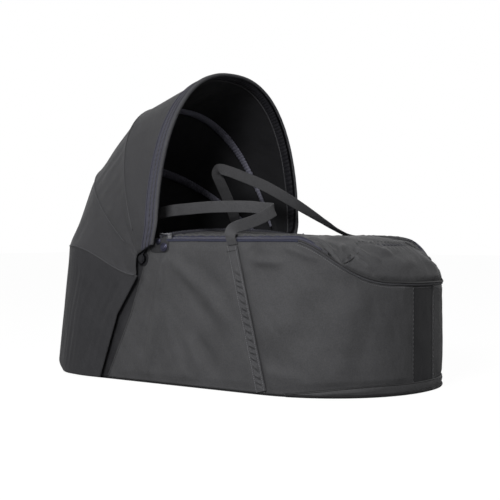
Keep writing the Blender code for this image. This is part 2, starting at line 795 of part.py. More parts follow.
def build_zips():
    look = material("zip_coil", (0.045, 0.045, 0.060), 0.6)
    metal = material("slider_metal", (0.55, 0.55, 0.57), 0.25, 1.0)
    for label, side in SIDES:
        first = straight_place(ZIP_START_X, 1)
        last = foot_place(ZIP_END_X, 1)
        places = between(first, last)

        def point(column, row, face):
            place = places[column]
            z = rim_height(outline_x(place)) + mix(-ZIP_HIGH / 2, ZIP_HIGH / 2, row)
            inset = ZIP_EDGE + ZIP_WIDE if face else ZIP_EDGE
            return outline(side * place, inset, z)
        sheet("zip_chain_" + label, len(places) - 1, 1, point, look)

        middle = zip_centre()
        chain_top = RIM_HEIGHT + ZIP_HIGH / 2
        half_in = ZIP_WIDE / 2 + CLEAR
        half_out = half_in + SLIDER_FLANGE
        low = chain_top - SLIDER_FLANGE_DROP
        roof = chain_top + CLEAR
        top = roof + SLIDER_TOP - CLEAR
        edge = SLIDER_FLANGE / 2
        loop = ((-half_out, low), (-half_in, low), (-half_in, roof), (half_in, roof),
                (half_in, low), (half_out, low), (half_out, top - edge),
                (half_out - edge, top), (edge - half_out, top), (-half_out, top - edge))
        ends = ((-SLIDER_LONG / 2, SLIDER_END_SHARE), (-SLIDER_LONG / 3, 1.0),
                (SLIDER_LONG / 3, 1.0), (SLIDER_LONG / 2, SLIDER_END_SHARE))
        sections = []
        for x, top_share in ends:
            ring = []
            for across, z in loop:
                if z > roof:
                    z = mix(roof, z, top_share)
                ring.append(Vector((SLIDER_X + x, side * (middle + across), z)))
            sections.append(ring)
        slider = finish("zip_slider_" + label, sweep_shape(sections), metal)

        lift = top + PULL_LIFT
        around = PULL_WIRE + CLEAR + BRIDGE_WIRE
        path = [Vector((SLIDER_X - around, side * middle, top - SLIDER_TOP / 3))]
        arch_steps = 8
        for step in range(arch_steps + 1):
            angle = math.pi * step / arch_steps
            path.append(Vector((SLIDER_X - around * math.cos(angle), side * middle,
                                lift + around * math.sin(angle))))
        path.append(Vector((SLIDER_X + around, side * middle, top - SLIDER_TOP / 3)))
        hint = Vector((0.0, 1.0, 0.0))
        tool = finish("bridge_tool", sweep_shape(round_sections(path, BRIDGE_WIRE, 8, hint)),
                      metal)
        join_boolean(slider, tool, "UNION")

        tilt = math.radians(PULL_TILT)
        way = Vector((-math.cos(tilt), 0.0, math.sin(tilt)))
        out = Vector((0.0, 1.0, 0.0))
        centre = Vector((SLIDER_X, side * middle, lift))
        corner = PULL_HALF_WIDE * 0.6
        turn_steps = 4
        path = []
        corners = ((corner, PULL_HALF_WIDE - corner, -1, 1),
                   (PULL_LONG - corner, PULL_HALF_WIDE - corner, 1, 1),
                   (PULL_LONG - corner, corner - PULL_HALF_WIDE, 1, -1),
                   (corner, corner - PULL_HALF_WIDE, -1, -1))
        for number, (run, across, run_way, out_way) in enumerate(corners):
            for step in range(turn_steps + 1):
                share = step / turn_steps
                turn = math.pi / 2 * (share if number % 2 == 0 else 1 - share)
                path.append(centre + way * (run + run_way * corner * math.cos(turn))
                            + out * (across + out_way * corner * math.sin(turn)))
        normal = way.cross(out)
        finish("zip_pull_" + label,
               sweep_shape(round_sections(path, PULL_WIRE, 6, normal, closed=True), closed=True),
               metal, sharp=60.0, origin=centre)


# sewn straps and handle loops
def build_sewn_straps():
    look = material("webbing", WEBBING, 0.85)
    for label, side in SIDES:
        y = side * (BODY_HALF_WIDTH + ANCHOR_OUT)
        for end, low_x, top_x, top_z in (
                ("front", FRONT_STRAP_LOW_X, FRONT_ANCHOR_X, FRONT_ANCHOR_Z),
                ("rear", REAR_STRAP_LOW_X, REAR_ANCHOR_X, REAR_ANCHOR_Z)):
            low = Vector((low_x, y, STRAP_LOW_Z))
            top = Vector((top_x, y, top_z - STRAP_TOP_GAP))
            steps = 4
            path = [low.lerp(top, step / steps) for step in range(steps + 1)]
            ways = [Vector((1.0, 0.0, 0.0))] * len(path)
            sections = strap_sections(path, ways, WEB_WIDE, WEB_THICK, WEB_EDGE)
            finish("strap_%s_%s" % (end, label), sweep_shape(sections), look)


# handle routes as shares of the anchor span: along, inward, rise; then the way the width lies
RIGHT_LOOP_SHARES = (
    (1.000, 0.000, 0.000, (0.994, 0.0, 0.105)), (0.996, -0.015, 0.039, (0.99, 0.0, 0.11)),
    (0.992, -0.013, 0.065, (0.98, 0.0, 0.13)), (0.990, 0.011, 0.089, (0.97, 0.0, 0.1)),
    (0.993, 0.062, 0.102, (0.95, -0.1, 0.2)), (1.009, 0.141, 0.121, (0.85, -0.1, 0.4)),
    (1.031, 0.223, 0.149, (0.60, -0.1, 0.7)), (1.046, 0.290, 0.180, (0.30, 0.0, 0.95)),
    (1.040, 0.318, 0.194, (0.05, 0.0, 1.0)), (1.010, 0.322, 0.202, (0.0, 0.0, 1.0)),
    (0.960, 0.312, 0.211, (0.0, 0.0, 1.0)), (0.873, 0.286, 0.229, (0.0, 0.0, 1.0)),
    (0.685, 0.247, 0.251, (0.0, 0.0, 1.0)), (0.514, 0.209, 0.260, (0.0, 0.0, 1.0)),
    (0.308, 0.168, 0.258, (-0.1, 0.0, 1.0)), (0.154, 0.124, 0.199, (-0.6, 0.0, 0.75)),
    (0.051, 0.083, 0.107, (-0.9, 0.0, 0.4)), (0.010, 0.047, 0.034, (-1.0, 0.0, 0.1)),
    (0.002, 0.019, 0.018, (-1.0, 0.0, -0.05)), (0.0, 0.0, 0.0, (-0.994, 0.0, -0.105)))
LEFT_LOOP_SHARES = (
    (1.000, 0.000, 0.000, (-0.994, 0.0, -0.105)), (0.996, -0.015, 0.039, (-0.99, 0.0, -0.11)),
    (0.990, -0.012, 0.068, (-0.97, 0.1, -0.1)), (0.957, 0.007, 0.087, (-0.90, 0.3, 0.0)),
    (0.897, 0.057, 0.100, (-0.75, 0.6, 0.0)), (0.836, 0.096, 0.125, (-0.68, 0.7, 0.0)),
    (0.779, 0.148, 0.173, (-0.62, 0.78, 0.0)), (0.640, 0.261, 0.300, (-0.5, 0.8, 0.1)),
    (0.498, 0.363, 0.414, (-0.33, 0.85, 0.27)), (0.380, 0.444, 0.489, (-0.2, 0.86, 0.38)),
    (0.295, 0.507, 0.538, (-0.1, 0.87, 0.45)), (0.247, 0.535, 0.554, (0.0, 0.87, 0.48)),
    (0.222, 0.524, 0.528, (0.25, 0.82, 0.45)), (0.218, 0.490, 0.478, (0.45, 0.75, 0.40)),
    (0.208, 0.398, 0.366, (0.65, 0.65, 0.3)), (0.174, 0.295, 0.267, (0.75, 0.6, 0.25)),
    (0.124, 0.192, 0.181, (0.85, 0.45, 0.15)), (0.080, 0.107, 0.111, (0.92, 0.3, 0.1)),
    (0.030, 0.062, 0.045, (1.0, 0.0, 0.0)), (0.007, 0.030, 0.018, (1.0, 0.0, 0.05)),
    (0.000, 0.000, 0.000, (0.994, 0.0, 0.105)))


def loop_path(shares, side, steps=3):
    """Smooth path and width ways through the points of a handle route."""
    points, ways = [], []
    for along, inward, rise, way in shares:
        base = mix(REAR_ANCHOR_Z, FRONT_ANCHOR_Z, along)
        points.append(Vector((REAR_ANCHOR_X + ANCHOR_SPAN * along,
                              side * (BODY_HALF_WIDTH + ANCHOR_OUT - ANCHOR_SPAN * inward),
                              base + ANCHOR_SPAN * rise)))
        ways.append(Vector(way))
    path, turned = [], []
    count = len(points)
    for index in range(count - 1):
        before, here = points[max(index - 1, 0)], points[index]
        there, after = points[index + 1], points[min(index + 2, count - 1)]
        for step in range(steps):
            share = step / steps
            a, b, c = (here * 2, (there - before) * share,
                       (before * 2 - here * 5 + there * 4 - after) * share ** 2)
            d = (here * 3 - before - there * 3 + after) * share ** 3
            path.append((a + b + c + d) / 2)
            turned.append(ways[index].lerp(ways[index + 1], share))
    path.append(points[-1])
    turned.append(ways[-1])
    return path, turned


def build_handles():
    look = material("webbing", WEBBING, 0.85)
    for (label, side), shares in zip(SIDES, (RIGHT_LOOP_SHARES, LEFT_LOOP_SHARES)):
        path, ways = loop_path(shares, side)
        anchor = (FRONT_ANCHOR_X, side * (BODY_HALF_WIDTH + ANCHOR_OUT), FRONT_ANCHOR_Z)
        sections = strap_sections(path, ways, WEB_WIDE, WEB_THICK, WEB_EDGE)
        finish("handle_" + label, sweep_shape(sections), look, origin=anchor)


# hood
def arch(angle, wide, rise, power):
    """Across and out distances of a hood arch at an angle 0..180 degrees."""
    across = -wide * signed_power(math.cos(angle), 2 / power)
    return across, rise * abs(math.sin(angle)) ** (2 / power)


def plane_point(foot_x, foot_z, lean, across, out):
    lean = math.radians(lean)
    return Vector((foot_x + out * math.cos(lean), across, foot_z + out * math.sin(lean)))


def front_arch(angle, off):
    across, out = arch(angle, HOOD_HALF_WIDTH + off, FRONT_RISE + off, FRONT_POWER)
    foot_x = FRONT_FOOT_X - FRONT_FOOT_DRAW * (1 - smooth(out / FRONT_BLEND))
    return plane_point(foot_x, FRONT_FOOT_Z, FRONT_ANGLE, across, out)


def middle_arch(angle, off):
    across, out = arch(angle, HOOD_HALF_WIDTH + off, MIDDLE_RISE + off, MIDDLE_POWER)
    return plane_point(PIVOT_X, PIVOT_Z, MIDDLE_ANGLE, across, out)


def rear_arch(angle, off):
    across, out = arch(angle, HOOD_HALF_WIDTH + off, REAR_RISE + off, REAR_POWER)
    return plane_point(PIVOT_X, PIVOT_Z, REAR_ANGLE, across, out)


def skirt_seam_z(x):
    share = smooth((SKIRT_FRONT_TOP[0] - x) / (SKIRT_FRONT_TOP[0] - SKIRT_SEAM_RISE_X))
    return mix(SKIRT_SEAM_FRONT_Z, SKIRT_SEAM_BACK_Z, share)


def skirt_point(turn, share, off):
    """Point of the skirt: turn -1..1 from its right front edge round the head to the left."""
    side = -1 if turn < 0 else 1
    away = 1 - abs(turn)
    top_front = straight_place(SKIRT_FRONT_TOP[0], 1)
    top_x = outline(mix(0.0, top_front, 1 - away), 0.0, SKIRT_SEAM_BACK_Z).x
    z = mix(BASE_SEAM, skirt_seam_z(top_x), share)
    front_x = edge_x(z, SKIRT_FRONT_LOW, SKIRT_FRONT_MID, SKIRT_FRONT_TOP)
    place = mix(0.0, straight_place(front_x, 1), 1 - away)
    point = outline(place, 0.0, z)
    if place >= 1:
        return Vector((point.x, side * (HOOD_HALF_WIDTH + off), z))
    angle = place * math.pi / 2
    reach = HEAD_REACH + SKIRT_TIP_OFF - HEAD_LEAN_SHARE * (z - BASE_SEAM) + off
    return Vector((HEAD_CENTRE_X - reach * math.cos(angle),
                   side * (HOOD_HALF_WIDTH + off) * math.sin(angle), z))


def hood_angles(first_rise, power):
    """Angles of the arch columns; the first one stands just off the pivot."""
    start = math.asin((FAN_START / first_rise) ** (power / 2))
    angles = []
    for step in range(HOOP_STEPS + 1):
        share = step / HOOP_STEPS
        angles.append(mix(start, math.pi - start, share))
    return angles


def hood_panel(name, first, second, look, trim=CLEAR / 2):
    """Cloth ruled between two edges, with a slight sag; edges are functions of column and off."""
    def point(column, row, face):
        off = -HOOD_FABRIC if face else 0.0
        a, b = first(column, off), second(column, off)
        run = b - a
        way = run.normalized()
        a, b = a + way * trim, b - way * trim
        share = row / HOOD_ROWS
        place = a.lerp(b, share)
        height = clamp((place.z - PIVOT_Z) / MIDDLE_RISE)
        sag = 1 - HOOD_SAG_SHARE * 4 * share * (1 - share) * smooth(height * 2)
        centre = Vector((PIVOT_X, 0.0, PIVOT_Z))
        return centre + (place - centre) * sag
    return sheet(name, HOOP_STEPS, HOOD_ROWS, point, look, sharp=50.0)


def build_hood_cloth():
    look = material("hood_cloth", CLOTH, 0.9)
    angles = hood_angles(MIDDLE_RISE, MIDDLE_POWER)
    rear_angles = hood_angles(REAR_RISE, REAR_POWER)

    def turn(column):
        return 2 * column / HOOP_STEPS - 1

    def low_edge(column, off):
        return skirt_point(turn(column) if turn(column) else 1e-9, 1.0, off)
    hood_panel("hood_front_panel", lambda c, off: front_arch(angles[c], off),
               lambda c, off: middle_arch(angles[c], off), look)
    hood_panel("hood_middle_panel", lambda c, off: middle_arch(angles[c], off),
               lambda c, off: rear_arch(rear_angles[c], off), look)
    hood_panel("hood_rear_panel", lambda c, off: rear_arch(rear_angles[c], off),
               low_edge, look)

    skirt_rows = 6
    sheet("hood_skirt", HOOP_STEPS, skirt_rows,
          lambda c, r, face: skirt_point(turn(c) if turn(c) else 1e-9, r / skirt_rows,
                                         -FABRIC if face else 0.0)
          - Vector((0.0, 0.0, CLEAR * r / skirt_rows)),
          material("skirt_cloth", CLOTH_DARK, 0.9), sharp=50.0)

    def hem(column, row, face):
        off = CLEAR + (0.0 if face else FABRIC)
        a, b = front_arch(angles[column], off), middle_arch(angles[column], off)
        return a + (b - a).normalized() * HEM_WIDTH * row
    sheet("hood_hem", HOOP_STEPS, 1, hem, material("binding_cloth", TAPE, 0.8), sharp=50.0)


def hoop_path(foot_x, foot_z, lean, leg, rise, power):
    """Points of a hoop and its outward ways; its legs start inside the eyes."""
    start = math.asin((HOOP_START / rise) ** (power / 2))
    path, outs = [], []
    lean = math.radians(lean)
    way = Vector((math.cos(lean), 0.0, math.sin(lean)))
    shift = Vector((foot_x - PIVOT_X, 0.0, foot_z - PIVOT_Z))
    for step in range(HOOP_STEPS + 1):
        angle = mix(start, math.pi - start, step / HOOP_STEPS)
        across, out = arch(angle, leg, rise, power)
        place = Vector((PIVOT_X, across, PIVOT_Z)) + shift * smooth(out / FRONT_BLEND) + way * out
        y_part = signed_power(-math.cos(angle), 2 - 2 / power) / leg
        r_part = abs(math.sin(angle)) ** (2 - 2 / power) / rise
        normal = Vector((0.0, y_part, 0.0)) + way * r_part
        path.append(place)
        outs.append(normal.normalized())
    return path, outs


def build_hoops():
    look = material("hoop_steel", (0.42, 0.42, 0.44), 0.35, 1.0)
    level = BODY_HALF_WIDTH + CLEAR + PLATE_THICK + CLEAR
    rows = (("rear_hoop", PIVOT_X, PIVOT_Z, REAR_ANGLE, REAR_RISE, REAR_POWER),
            ("middle_hoop", PIVOT_X, PIVOT_Z, MIDDLE_ANGLE, MIDDLE_RISE, MIDDLE_POWER),
            ("front_hoop", FRONT_FOOT_X, FRONT_FOOT_Z, FRONT_ANGLE, FRONT_RISE, FRONT_POWER))
    for name, foot_x, foot_z, lean, rise, power in rows:
        leg = level + EYE_THICK / 2
        path, outs = hoop_path(foot_x, foot_z, lean, leg, rise - HOOP_UNDER_CLOTH, power)
        ways = [along.cross(out) for along, out in zip(tangents(path), outs)]
        sections = strap_sections(path, ways, HOOP_WIDE, HOOP_THICK, HOOP_THICK / 4)
        hoop = finish(name, sweep_shape(sections), look)
        for side in (-1, 1):
            ring = ((PIN_HOLE_RADIUS, level), (EYE_RADIUS, level),
                    (EYE_RADIUS, level + EYE_THICK), (PIN_HOLE_RADIUS, level + EYE_THICK))
            eye = finish("eye_tool", turned_shape(ring, (PIVOT_X, PIVOT_Z), side), look)
            join_boolean(hoop, eye, "UNION")
        pivot = Vector((PIVOT_X, 0.0, PIVOT_Z))
        for vertex in hoop.data.vertices:
            vertex.co -= pivot
        hoop.location = pivot
        level += EYE_THICK + CLEAR
    return level


def build_pivots(level):
    plastic = material("mount_plastic", BLACK, 0.5)
    metal = material("rivet_steel", (0.5, 0.5, 0.52), 0.3, 1.0)
    face = BODY_HALF_WIDTH + CLEAR
    for label, side in SIDES:
        edge = PLATE_THICK / 3
        pin_end = level - CLEAR
        loop = ((0.0, face), (PLATE_RADIUS, face), (PLATE_RADIUS, face + PLATE_THICK - edge),
                (PLATE_RADIUS - edge, face + PLATE_THICK), (PIN_RADIUS, face + PLATE_THICK),
                (PIN_RADIUS, pin_end), (0.0, pin_end))
        finish("hood_mount_" + label, turned_shape(loop, (PIVOT_X, PIVOT_Z), side), plastic)
        cap = ((0.0, level), (CAP_RADIUS, level), (CAP_RADIUS, level + CAP_THICK / 2),
               (CAP_RADIUS * 0.7, level + CAP_THICK), (0.0, level + CAP_THICK))
        finish("rivet_cap_" + label, turned_shape(cap, (PIVOT_X, PIVOT_Z), side), metal)


def build_tabs():
    cloth = material("tab_cloth", CLOTH_DARK, 0.9)
    face = BODY_HALF_WIDTH + CLEAR
    metal = material("stud_metal", (0.35, 0.35, 0.37), 0.3, 1.0)
    corner = (TAB_HIGH_Z - TAB_LOW_Z) / 3
    for label, side in SIDES:
        outline_points = []
        turn_steps = 4
        for cx, cz, start in ((TAB_FRONT_X - corner, TAB_HIGH_Z - corner, 0),
                              (TAB_BACK_X + corner, TAB_HIGH_Z - corner, 1),
                              (TAB_BACK_X + corner, TAB_LOW_Z + corner, 2),
                              (TAB_FRONT_X - corner, TAB_LOW_Z + corner, 3)):
            for step in range(turn_steps + 1):
                angle = math.pi / 2 * (start + step / turn_steps)
                outline_points.append((cx + corner * math.cos(angle),
                                       cz + corner * math.sin(angle)))
        sections = [[Vector((x, side * y, z)) for x, z in outline_points]
                    for y in (face, face + FABRIC)]
        finish("hood_tab_" + label, sweep_shape(sections), cloth)
        out = face + FABRIC + CLEAR
        for place, (x, z, radius) in zip(("upper", "lower"), STUD_SPOTS):
            loop = ((0.0, out), (radius, out), (radius, out + STUD_THICK * 0.4),
                    (radius * 0.85, out + STUD_THICK * 0.7), (radius * 0.62, out + STUD_THICK * 0.7),
                    (radius * 0.5, out + STUD_THICK), (0.0, out + STUD_THICK))
            finish("snap_%s_%s" % (place, label), turned_shape(loop, (x, z), side, 20), metal)


def build():
    for item in list(bpy.data.objects):
        bpy.data.objects.remove(item, do_unlink=True)
    build_base()
    build_foam()
    build_lining()
    build_side_panels()
    build_head_panel()
    build_foot_panel()
    build_mattress()
    build_cover()
    build_apron()
    build_apron_hem()
    build_zips()
    build_sewn_straps()
    build_handles()
    build_hood_cloth()
    level = build_hoops()
    build_pivots(level)
    build_tabs()


build()
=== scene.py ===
"""Looks of the soft carrycot: its cloth, seams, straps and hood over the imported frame.

Metres, +Z up, +X towards the foot end; the right side (-Y) is nearest the camera.
"""
import math

import bpy
import numpy as np
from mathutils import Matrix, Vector


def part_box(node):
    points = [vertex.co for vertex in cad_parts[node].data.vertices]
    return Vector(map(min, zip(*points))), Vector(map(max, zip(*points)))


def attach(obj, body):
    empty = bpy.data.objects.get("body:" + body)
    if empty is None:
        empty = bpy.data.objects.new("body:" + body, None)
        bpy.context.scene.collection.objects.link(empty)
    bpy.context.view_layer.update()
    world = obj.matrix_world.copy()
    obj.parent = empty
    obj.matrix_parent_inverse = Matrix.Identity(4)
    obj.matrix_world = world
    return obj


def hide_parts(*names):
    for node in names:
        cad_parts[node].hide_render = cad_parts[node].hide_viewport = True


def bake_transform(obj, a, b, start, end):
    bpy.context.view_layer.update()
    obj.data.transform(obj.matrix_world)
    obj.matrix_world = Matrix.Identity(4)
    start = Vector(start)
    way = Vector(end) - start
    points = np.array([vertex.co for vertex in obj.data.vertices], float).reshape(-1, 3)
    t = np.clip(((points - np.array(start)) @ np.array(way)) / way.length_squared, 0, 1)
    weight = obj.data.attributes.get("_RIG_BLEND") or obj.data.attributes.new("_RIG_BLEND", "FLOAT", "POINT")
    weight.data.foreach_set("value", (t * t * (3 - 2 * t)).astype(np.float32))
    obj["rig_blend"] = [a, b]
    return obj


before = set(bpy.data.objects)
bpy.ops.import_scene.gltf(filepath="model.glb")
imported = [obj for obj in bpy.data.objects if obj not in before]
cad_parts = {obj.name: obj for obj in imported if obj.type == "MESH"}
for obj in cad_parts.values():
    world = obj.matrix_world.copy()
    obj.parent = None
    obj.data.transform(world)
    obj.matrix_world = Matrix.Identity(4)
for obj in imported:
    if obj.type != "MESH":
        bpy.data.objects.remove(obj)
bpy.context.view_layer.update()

# sizes of the frame that the cloth is cut to
HALF_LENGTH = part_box("base_tray")[1][0]
BODY_HALF_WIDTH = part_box("base_tray")[1][1]
END_RADIUS = 0.190
RIM_HEIGHT = 0.246
HEAD_RIM_HEIGHT = 0.205
FOOT_LOW_HEIGHT = 0.180
FOOT_TIP_HEIGHT = 0.178
CROWN_HEIGHT = 0.247
FABRIC = 0.0015
CLOTH_THICK = FABRIC * 0.8
HOOD_FABRIC = 0.0012
TAPE_THICK = 0.0006
CLEAR = 0.0003

# plan outline and lean of the body
HEAD_CENTRE_X = END_RADIUS - HALF_LENGTH
FOOT_CENTRE_X = HALF_LENGTH - END_RADIUS
SKIRT_TIP_OFF = 0.008
SKIRT_LOW_IN = 0.002
SKIRT_TOP_IN = 0.006
HEAD_REACH = END_RADIUS - SKIRT_TIP_OFF
HEAD_LEAN_SHARE = 0.222
FOOT_POWER = 2.1

# rim, base seam and the slanted seams; a seam place is (x, z)
RIM_DROP_TOP_X = -0.030
RIM_DROP_LOW_X = -0.085
FOOT_DROP_TOP_X = 0.255
FOOT_DROP_LOW_X = 0.370
BASE_SEAM = 0.0033
FOOT_BASE_SEAM = 0.0178
BASE_RISE_START_X = 0.215
BASE_RISE_END_X = 0.367
SLEEVE_START_X = 0.240
SEAM_DROP = 0.0025
FABRIC_TOP_DROP = SEAM_DROP + CLEAR
HEAD_SEAM_TOP = (-0.041, 0.236)
HEAD_SEAM_MID = (-0.086, 0.117)
HEAD_SEAM_LOW = (-0.144, BASE_SEAM)
FOOT_STRIP_HALF = 0.031
BINDING = 0.0065
FOAM_THICK = 0.0085
FOAM_SPLIT_X = -0.085
INSET_FOAM = FABRIC + CLEAR
INSET_LINING = INSET_FOAM + FOAM_THICK + CLEAR
INSET_INNER = INSET_LINING + 0.0012

# hood arcs: lean in degrees, rise, power of the curve
PIVOT_X = -0.056
PIVOT_Z = 0.2113
PIVOT = np.array((PIVOT_X, 0.0, PIVOT_Z))
HOOD_HALF_WIDTH = BODY_HALF_WIDTH + 0.0118
FRONT_FOOT_X = PIVOT_X + 0.0357
FRONT_FOOT_Z = PIVOT_Z + 0.0164
FRONT_BLEND = 0.050
FRONT_FOOT_DRAW = 0.008
HOOD_REACH = HALF_LENGTH + PIVOT_X
ARCS = {"front": (89.1, HOOD_REACH * 0.9660, 2.36),
        "middle": (109.4, HOOD_REACH * 0.9133, 2.52),
        "rear": (140.7, HOOD_REACH * 0.8543, 2.40)}
ARC_START = 0.012
HEM_WIDTH = 0.022
FACING_WIDTH = 0.021
HOOP_UNDER_CLOTH = 0.00315
MIDDLE_LEG = 0.1948
REAR_LEG = 0.1929
HOOP_LONG = 0.28
SKIRT_FRONT_TOP = (-0.0599, 0.1822)
SKIRT_FRONT_MID = (-0.1080, 0.1150)
SKIRT_FRONT_LOW = (-0.1509, BASE_SEAM)
SKIRT_SEAM_FRONT_Z = 0.1835
SKIRT_SEAM_BACK_Z = 0.2325
SKIRT_SEAM_RISE_X = -0.225

# foot cover, apron and zip
LID_EDGE = 0.0036
DOME_WIDTH = 0.100
COVER_START_X = 0.235
COVER_TIP_X = 0.212
COVER_BLEND_START_X = 0.3095
COVER_BLEND = 0.012
GATHER_ANGLE = 56.0
GATHER_LEVEL_HALF = 0.36
GATHER_FALL = 0.22
PLACE_LONG = 0.30
CLIMB_LONG = 0.11
APRON_HEAD_X = -0.0165
APRON_PUFF = 0.0085
ZIP_START_X = -0.002
ZIP_END_X = 0.2935
ZIP_MIDDLE_INSET = 0.0017

# how far each cloth stands off its solid
SIDE_OFF = 0.0028
HEAD_OFF = 0.0010
FOOT_OFF = 0.0004
SLEEVE_OFF = 0.0016
LINING_OFF = 0.0024
COVER_OFF = 0.0026
APRON_OFF = 0.0010

# slack of the cloth: the far foot rim hangs low, the head end tucks in at the floor
SLUMP_X = 0.310
SLUMP_LONG = 0.055
SLUMP_DEEP = 0.019
SLUMP_START_Z = 0.10
SLUMP_RISE = 0.12
SLUMP_FAR_Y = 0.11
HEAD_TUCK = 0.075
TUCK_HEIGHT = 0.022
TUCK_START_X = -0.23
TUCK_BLEND = 0.10

# webbing; an anchor is (x, z)
WEB_WIDE = 0.020
FRONT_ANCHOR = (0.142, 0.236)
REAR_ANCHOR = (-0.150, 0.2052)
ANCHOR_OUT = CLEAR + 0.0008
STRAP_OUT = BODY_HALF_WIDTH + ANCHOR_OUT + 0.0016
STRAP_LOW_Z = 0.006
STRAP_TOP_DROP = 0.0034
STRAP_FRONT_LOW_X = FOOT_CENTRE_X + 0.0105
STRAP_REAR_LOW_X = HEAD_CENTRE_X + 0.008
TAB_X = -0.016
TAB_Z = 0.236

# radii of the round lines that stand for seams; the dark lines in grooves, folds and creases are painted
# shade
ZIP_LINE_RADIUS = 0.0004
FINE_GROOVE = 0.0006
GROOVE = 0.0007
FINE_WELT = 0.0008
CREASE = 0.0009
WELT = 0.0010
DEEP_GROOVE = 0.0011
WIDE_WELT = 0.0014
COVER_PIPING = 0.0020
SOLE_EDGE = 0.0026

# wavelengths of the puckers that the seams and elastics draw up
RIM_PUCKER = 0.009
COVER_PUCKER = 0.0125
CORD_PUCKER = 0.0060
APRON_PUCKER = 0.013
ELASTIC_PUCKER = 0.0075
HEM_PUCKER = 0.0080
HOOP_PUCKER = 0.0075
RUFFLE_PUCKER = 0.0170
STRAP_PUCKER = 0.0120
ZIP_TOOTH = 0.0016

SIDES = (("right", -1), ("left", 1))


# numbers
def smooth(share):
    share = np.clip(share, 0.0, 1.0)
    return share * share * (3 - 2 * share)


def mix(first, second, share):
    return first + (second - first) * share


def fade_ends(share, pace):
    """0 at both ends of 0..1 and 1 between them."""
    return smooth(share * pace) * smooth((1 - share) * pace)


def bell(away, wide):
    return np.exp(-(away / wide) ** 2)


def wave(run, pitch, shift=0.0):
    """Sine with one crest in each pitch."""
    return np.sin(run * 2 * math.pi / pitch + shift)


def ripple(u, v, seed, size, waves=7):
    """Soft unevenness about zero, of a given feature size, the same each run."""
    rng = np.random.default_rng(seed)
    total = np.zeros(np.broadcast(u, v).shape)
    for _ in range(waves):
        turn = rng.uniform(0, math.pi)
        pace = 2 * math.pi / (size * rng.uniform(0.7, 1.8))
        total += np.sin((u * math.cos(turn) + v * math.sin(turn)) * pace + rng.uniform(0, 7))
    return total / waves


def wander(run, seed, size):
    """Soft unevenness along a line."""
    return ripple(run, 0 * run, seed, size)


def folds(u, v, rows):
    """Sum of soft folds: each row is (u0, v0, u1, v1, half width, height)."""
    total = np.zeros(np.broadcast(u, v).shape)
    for u0, v0, u1, v1, wide, high in rows:
        run = np.array((u1 - u0, v1 - v0))
        length = float(np.hypot(*run))
        along = ((u - u0) * run[0] + (v - v0) * run[1]) / length ** 2
        near = np.clip(along, 0, 1)
        away = np.hypot(u - u0 - near * run[0], v - v0 - near * run[1])
        fade = np.clip(1.15 - 4 * (near - 0.5) ** 2, 0.0, 1.0)
        total += high * fade * bell(away, wide)
    return total


def unit(ways):
    """The same ways, 1 long."""
    return ways / np.linalg.norm(ways, axis=-1, keepdims=True)


def run_of(path):
    """Length along a path at each of its points."""
    return np.concatenate(([0.0], np.cumsum(np.linalg.norm(np.diff(path, axis=0), axis=1))))


def round_turn(sides):
    """Even angles once round a section."""
    return np.linspace(0, 2 * math.pi, sides + 1)[:-1]


def rounded(wave_value, power):
    """Sine or cosine drawn out towards a square."""
    return np.sign(wave_value) * np.abs(wave_value) ** (2 / power)


# shape of the body
def rim_height(x):
    """Height of the rim: low at the head end, level between, and low again at the foot end."""
    head = mix(HEAD_RIM_HEIGHT, RIM_HEIGHT,
               smooth((x - RIM_DROP_LOW_X) / (RIM_DROP_TOP_X - RIM_DROP_LOW_X)))
    drop = smooth((x - FOOT_DROP_TOP_X) / (FOOT_DROP_LOW_X - FOOT_DROP_TOP_X))
    tail = np.clip((x - FOOT_DROP_LOW_X) / (HALF_LENGTH - FOOT_DROP_LOW_X), 0, 1)
    foot = mix(RIM_HEIGHT, mix(FOOT_LOW_HEIGHT, FOOT_TIP_HEIGHT, tail), drop)
    return np.where(x < RIM_DROP_TOP_X, head, foot)


def base_seam(x):
    rise = smooth((x - BASE_RISE_START_X) / (BASE_RISE_END_X - BASE_RISE_START_X))
    return mix(BASE_SEAM, FOOT_BASE_SEAM, rise)


def side_bottom(x):
    return np.where(x > SLEEVE_START_X, base_seam(x), BASE_SEAM)


def floor_seam(x):
    return BASE_SEAM + 0 * x


def fabric_top(x):
    return rim_height(x) - FABRIC_TOP_DROP


def edge_x(z, low, middle, high):
    """Place along a slanted edge of two straight runs, whose ends are (x, z)."""
    under = mix(low[0], middle[0], np.clip((z - low[1]) / (middle[1] - low[1]), 0, 1))
    over = mix(middle[0], high[0], np.clip((z - middle[1]) / (high[1] - middle[1]), 0, 1))
    return np.where(z < middle[1], under, over)


def slanted(z):
    return edge_x(z, HEAD_SEAM_LOW, HEAD_SEAM_MID, HEAD_SEAM_TOP)


def outline(place, inset, z):
    """Points of the body outline: place -3..3 runs foot tip, right side, head tip, left, foot."""
    place, inset, z = np.broadcast_arrays(np.asarray(place, float), inset, z)
    place = np.mod(place + 3, 6) - 3
    side = np.where(place < 0, -1.0, 1.0)
    along = np.abs(place) - 1
    wide = BODY_HALF_WIDTH - inset
    turn = np.clip(along + 1, 0, 1) * math.pi / 2
    reach = HEAD_REACH - HEAD_LEAN_SHARE * (z - BASE_SEAM) - inset
    bend = np.clip(along - 1, 0, 1) * math.pi / 2
    power = 2 / FOOT_POWER
    head_x = HEAD_CENTRE_X - reach * np.cos(turn)
    foot_x = FOOT_CENTRE_X + (END_RADIUS - inset) * np.sin(bend) ** power
    x = np.where(along < 0, head_x, mix(HEAD_CENTRE_X, FOOT_CENTRE_X, np.clip(along, 0, 1)))
    x = np.where(along > 1, foot_x, x)
    y = np.where(along < 0, wide * np.sin(turn), wide)
    y = np.where(along > 1, wide * np.abs(np.cos(bend)) ** power, y)
    return np.stack((x, side * y, z), -1)


def outward(place, z):
    """Way straight out of the wall, 10 mm long."""
    return outline(place, -0.01, z) - outline(place, 0.0, z)


def outline_x(place):
    return outline(place, 0.0, BASE_SEAM)[..., 0]


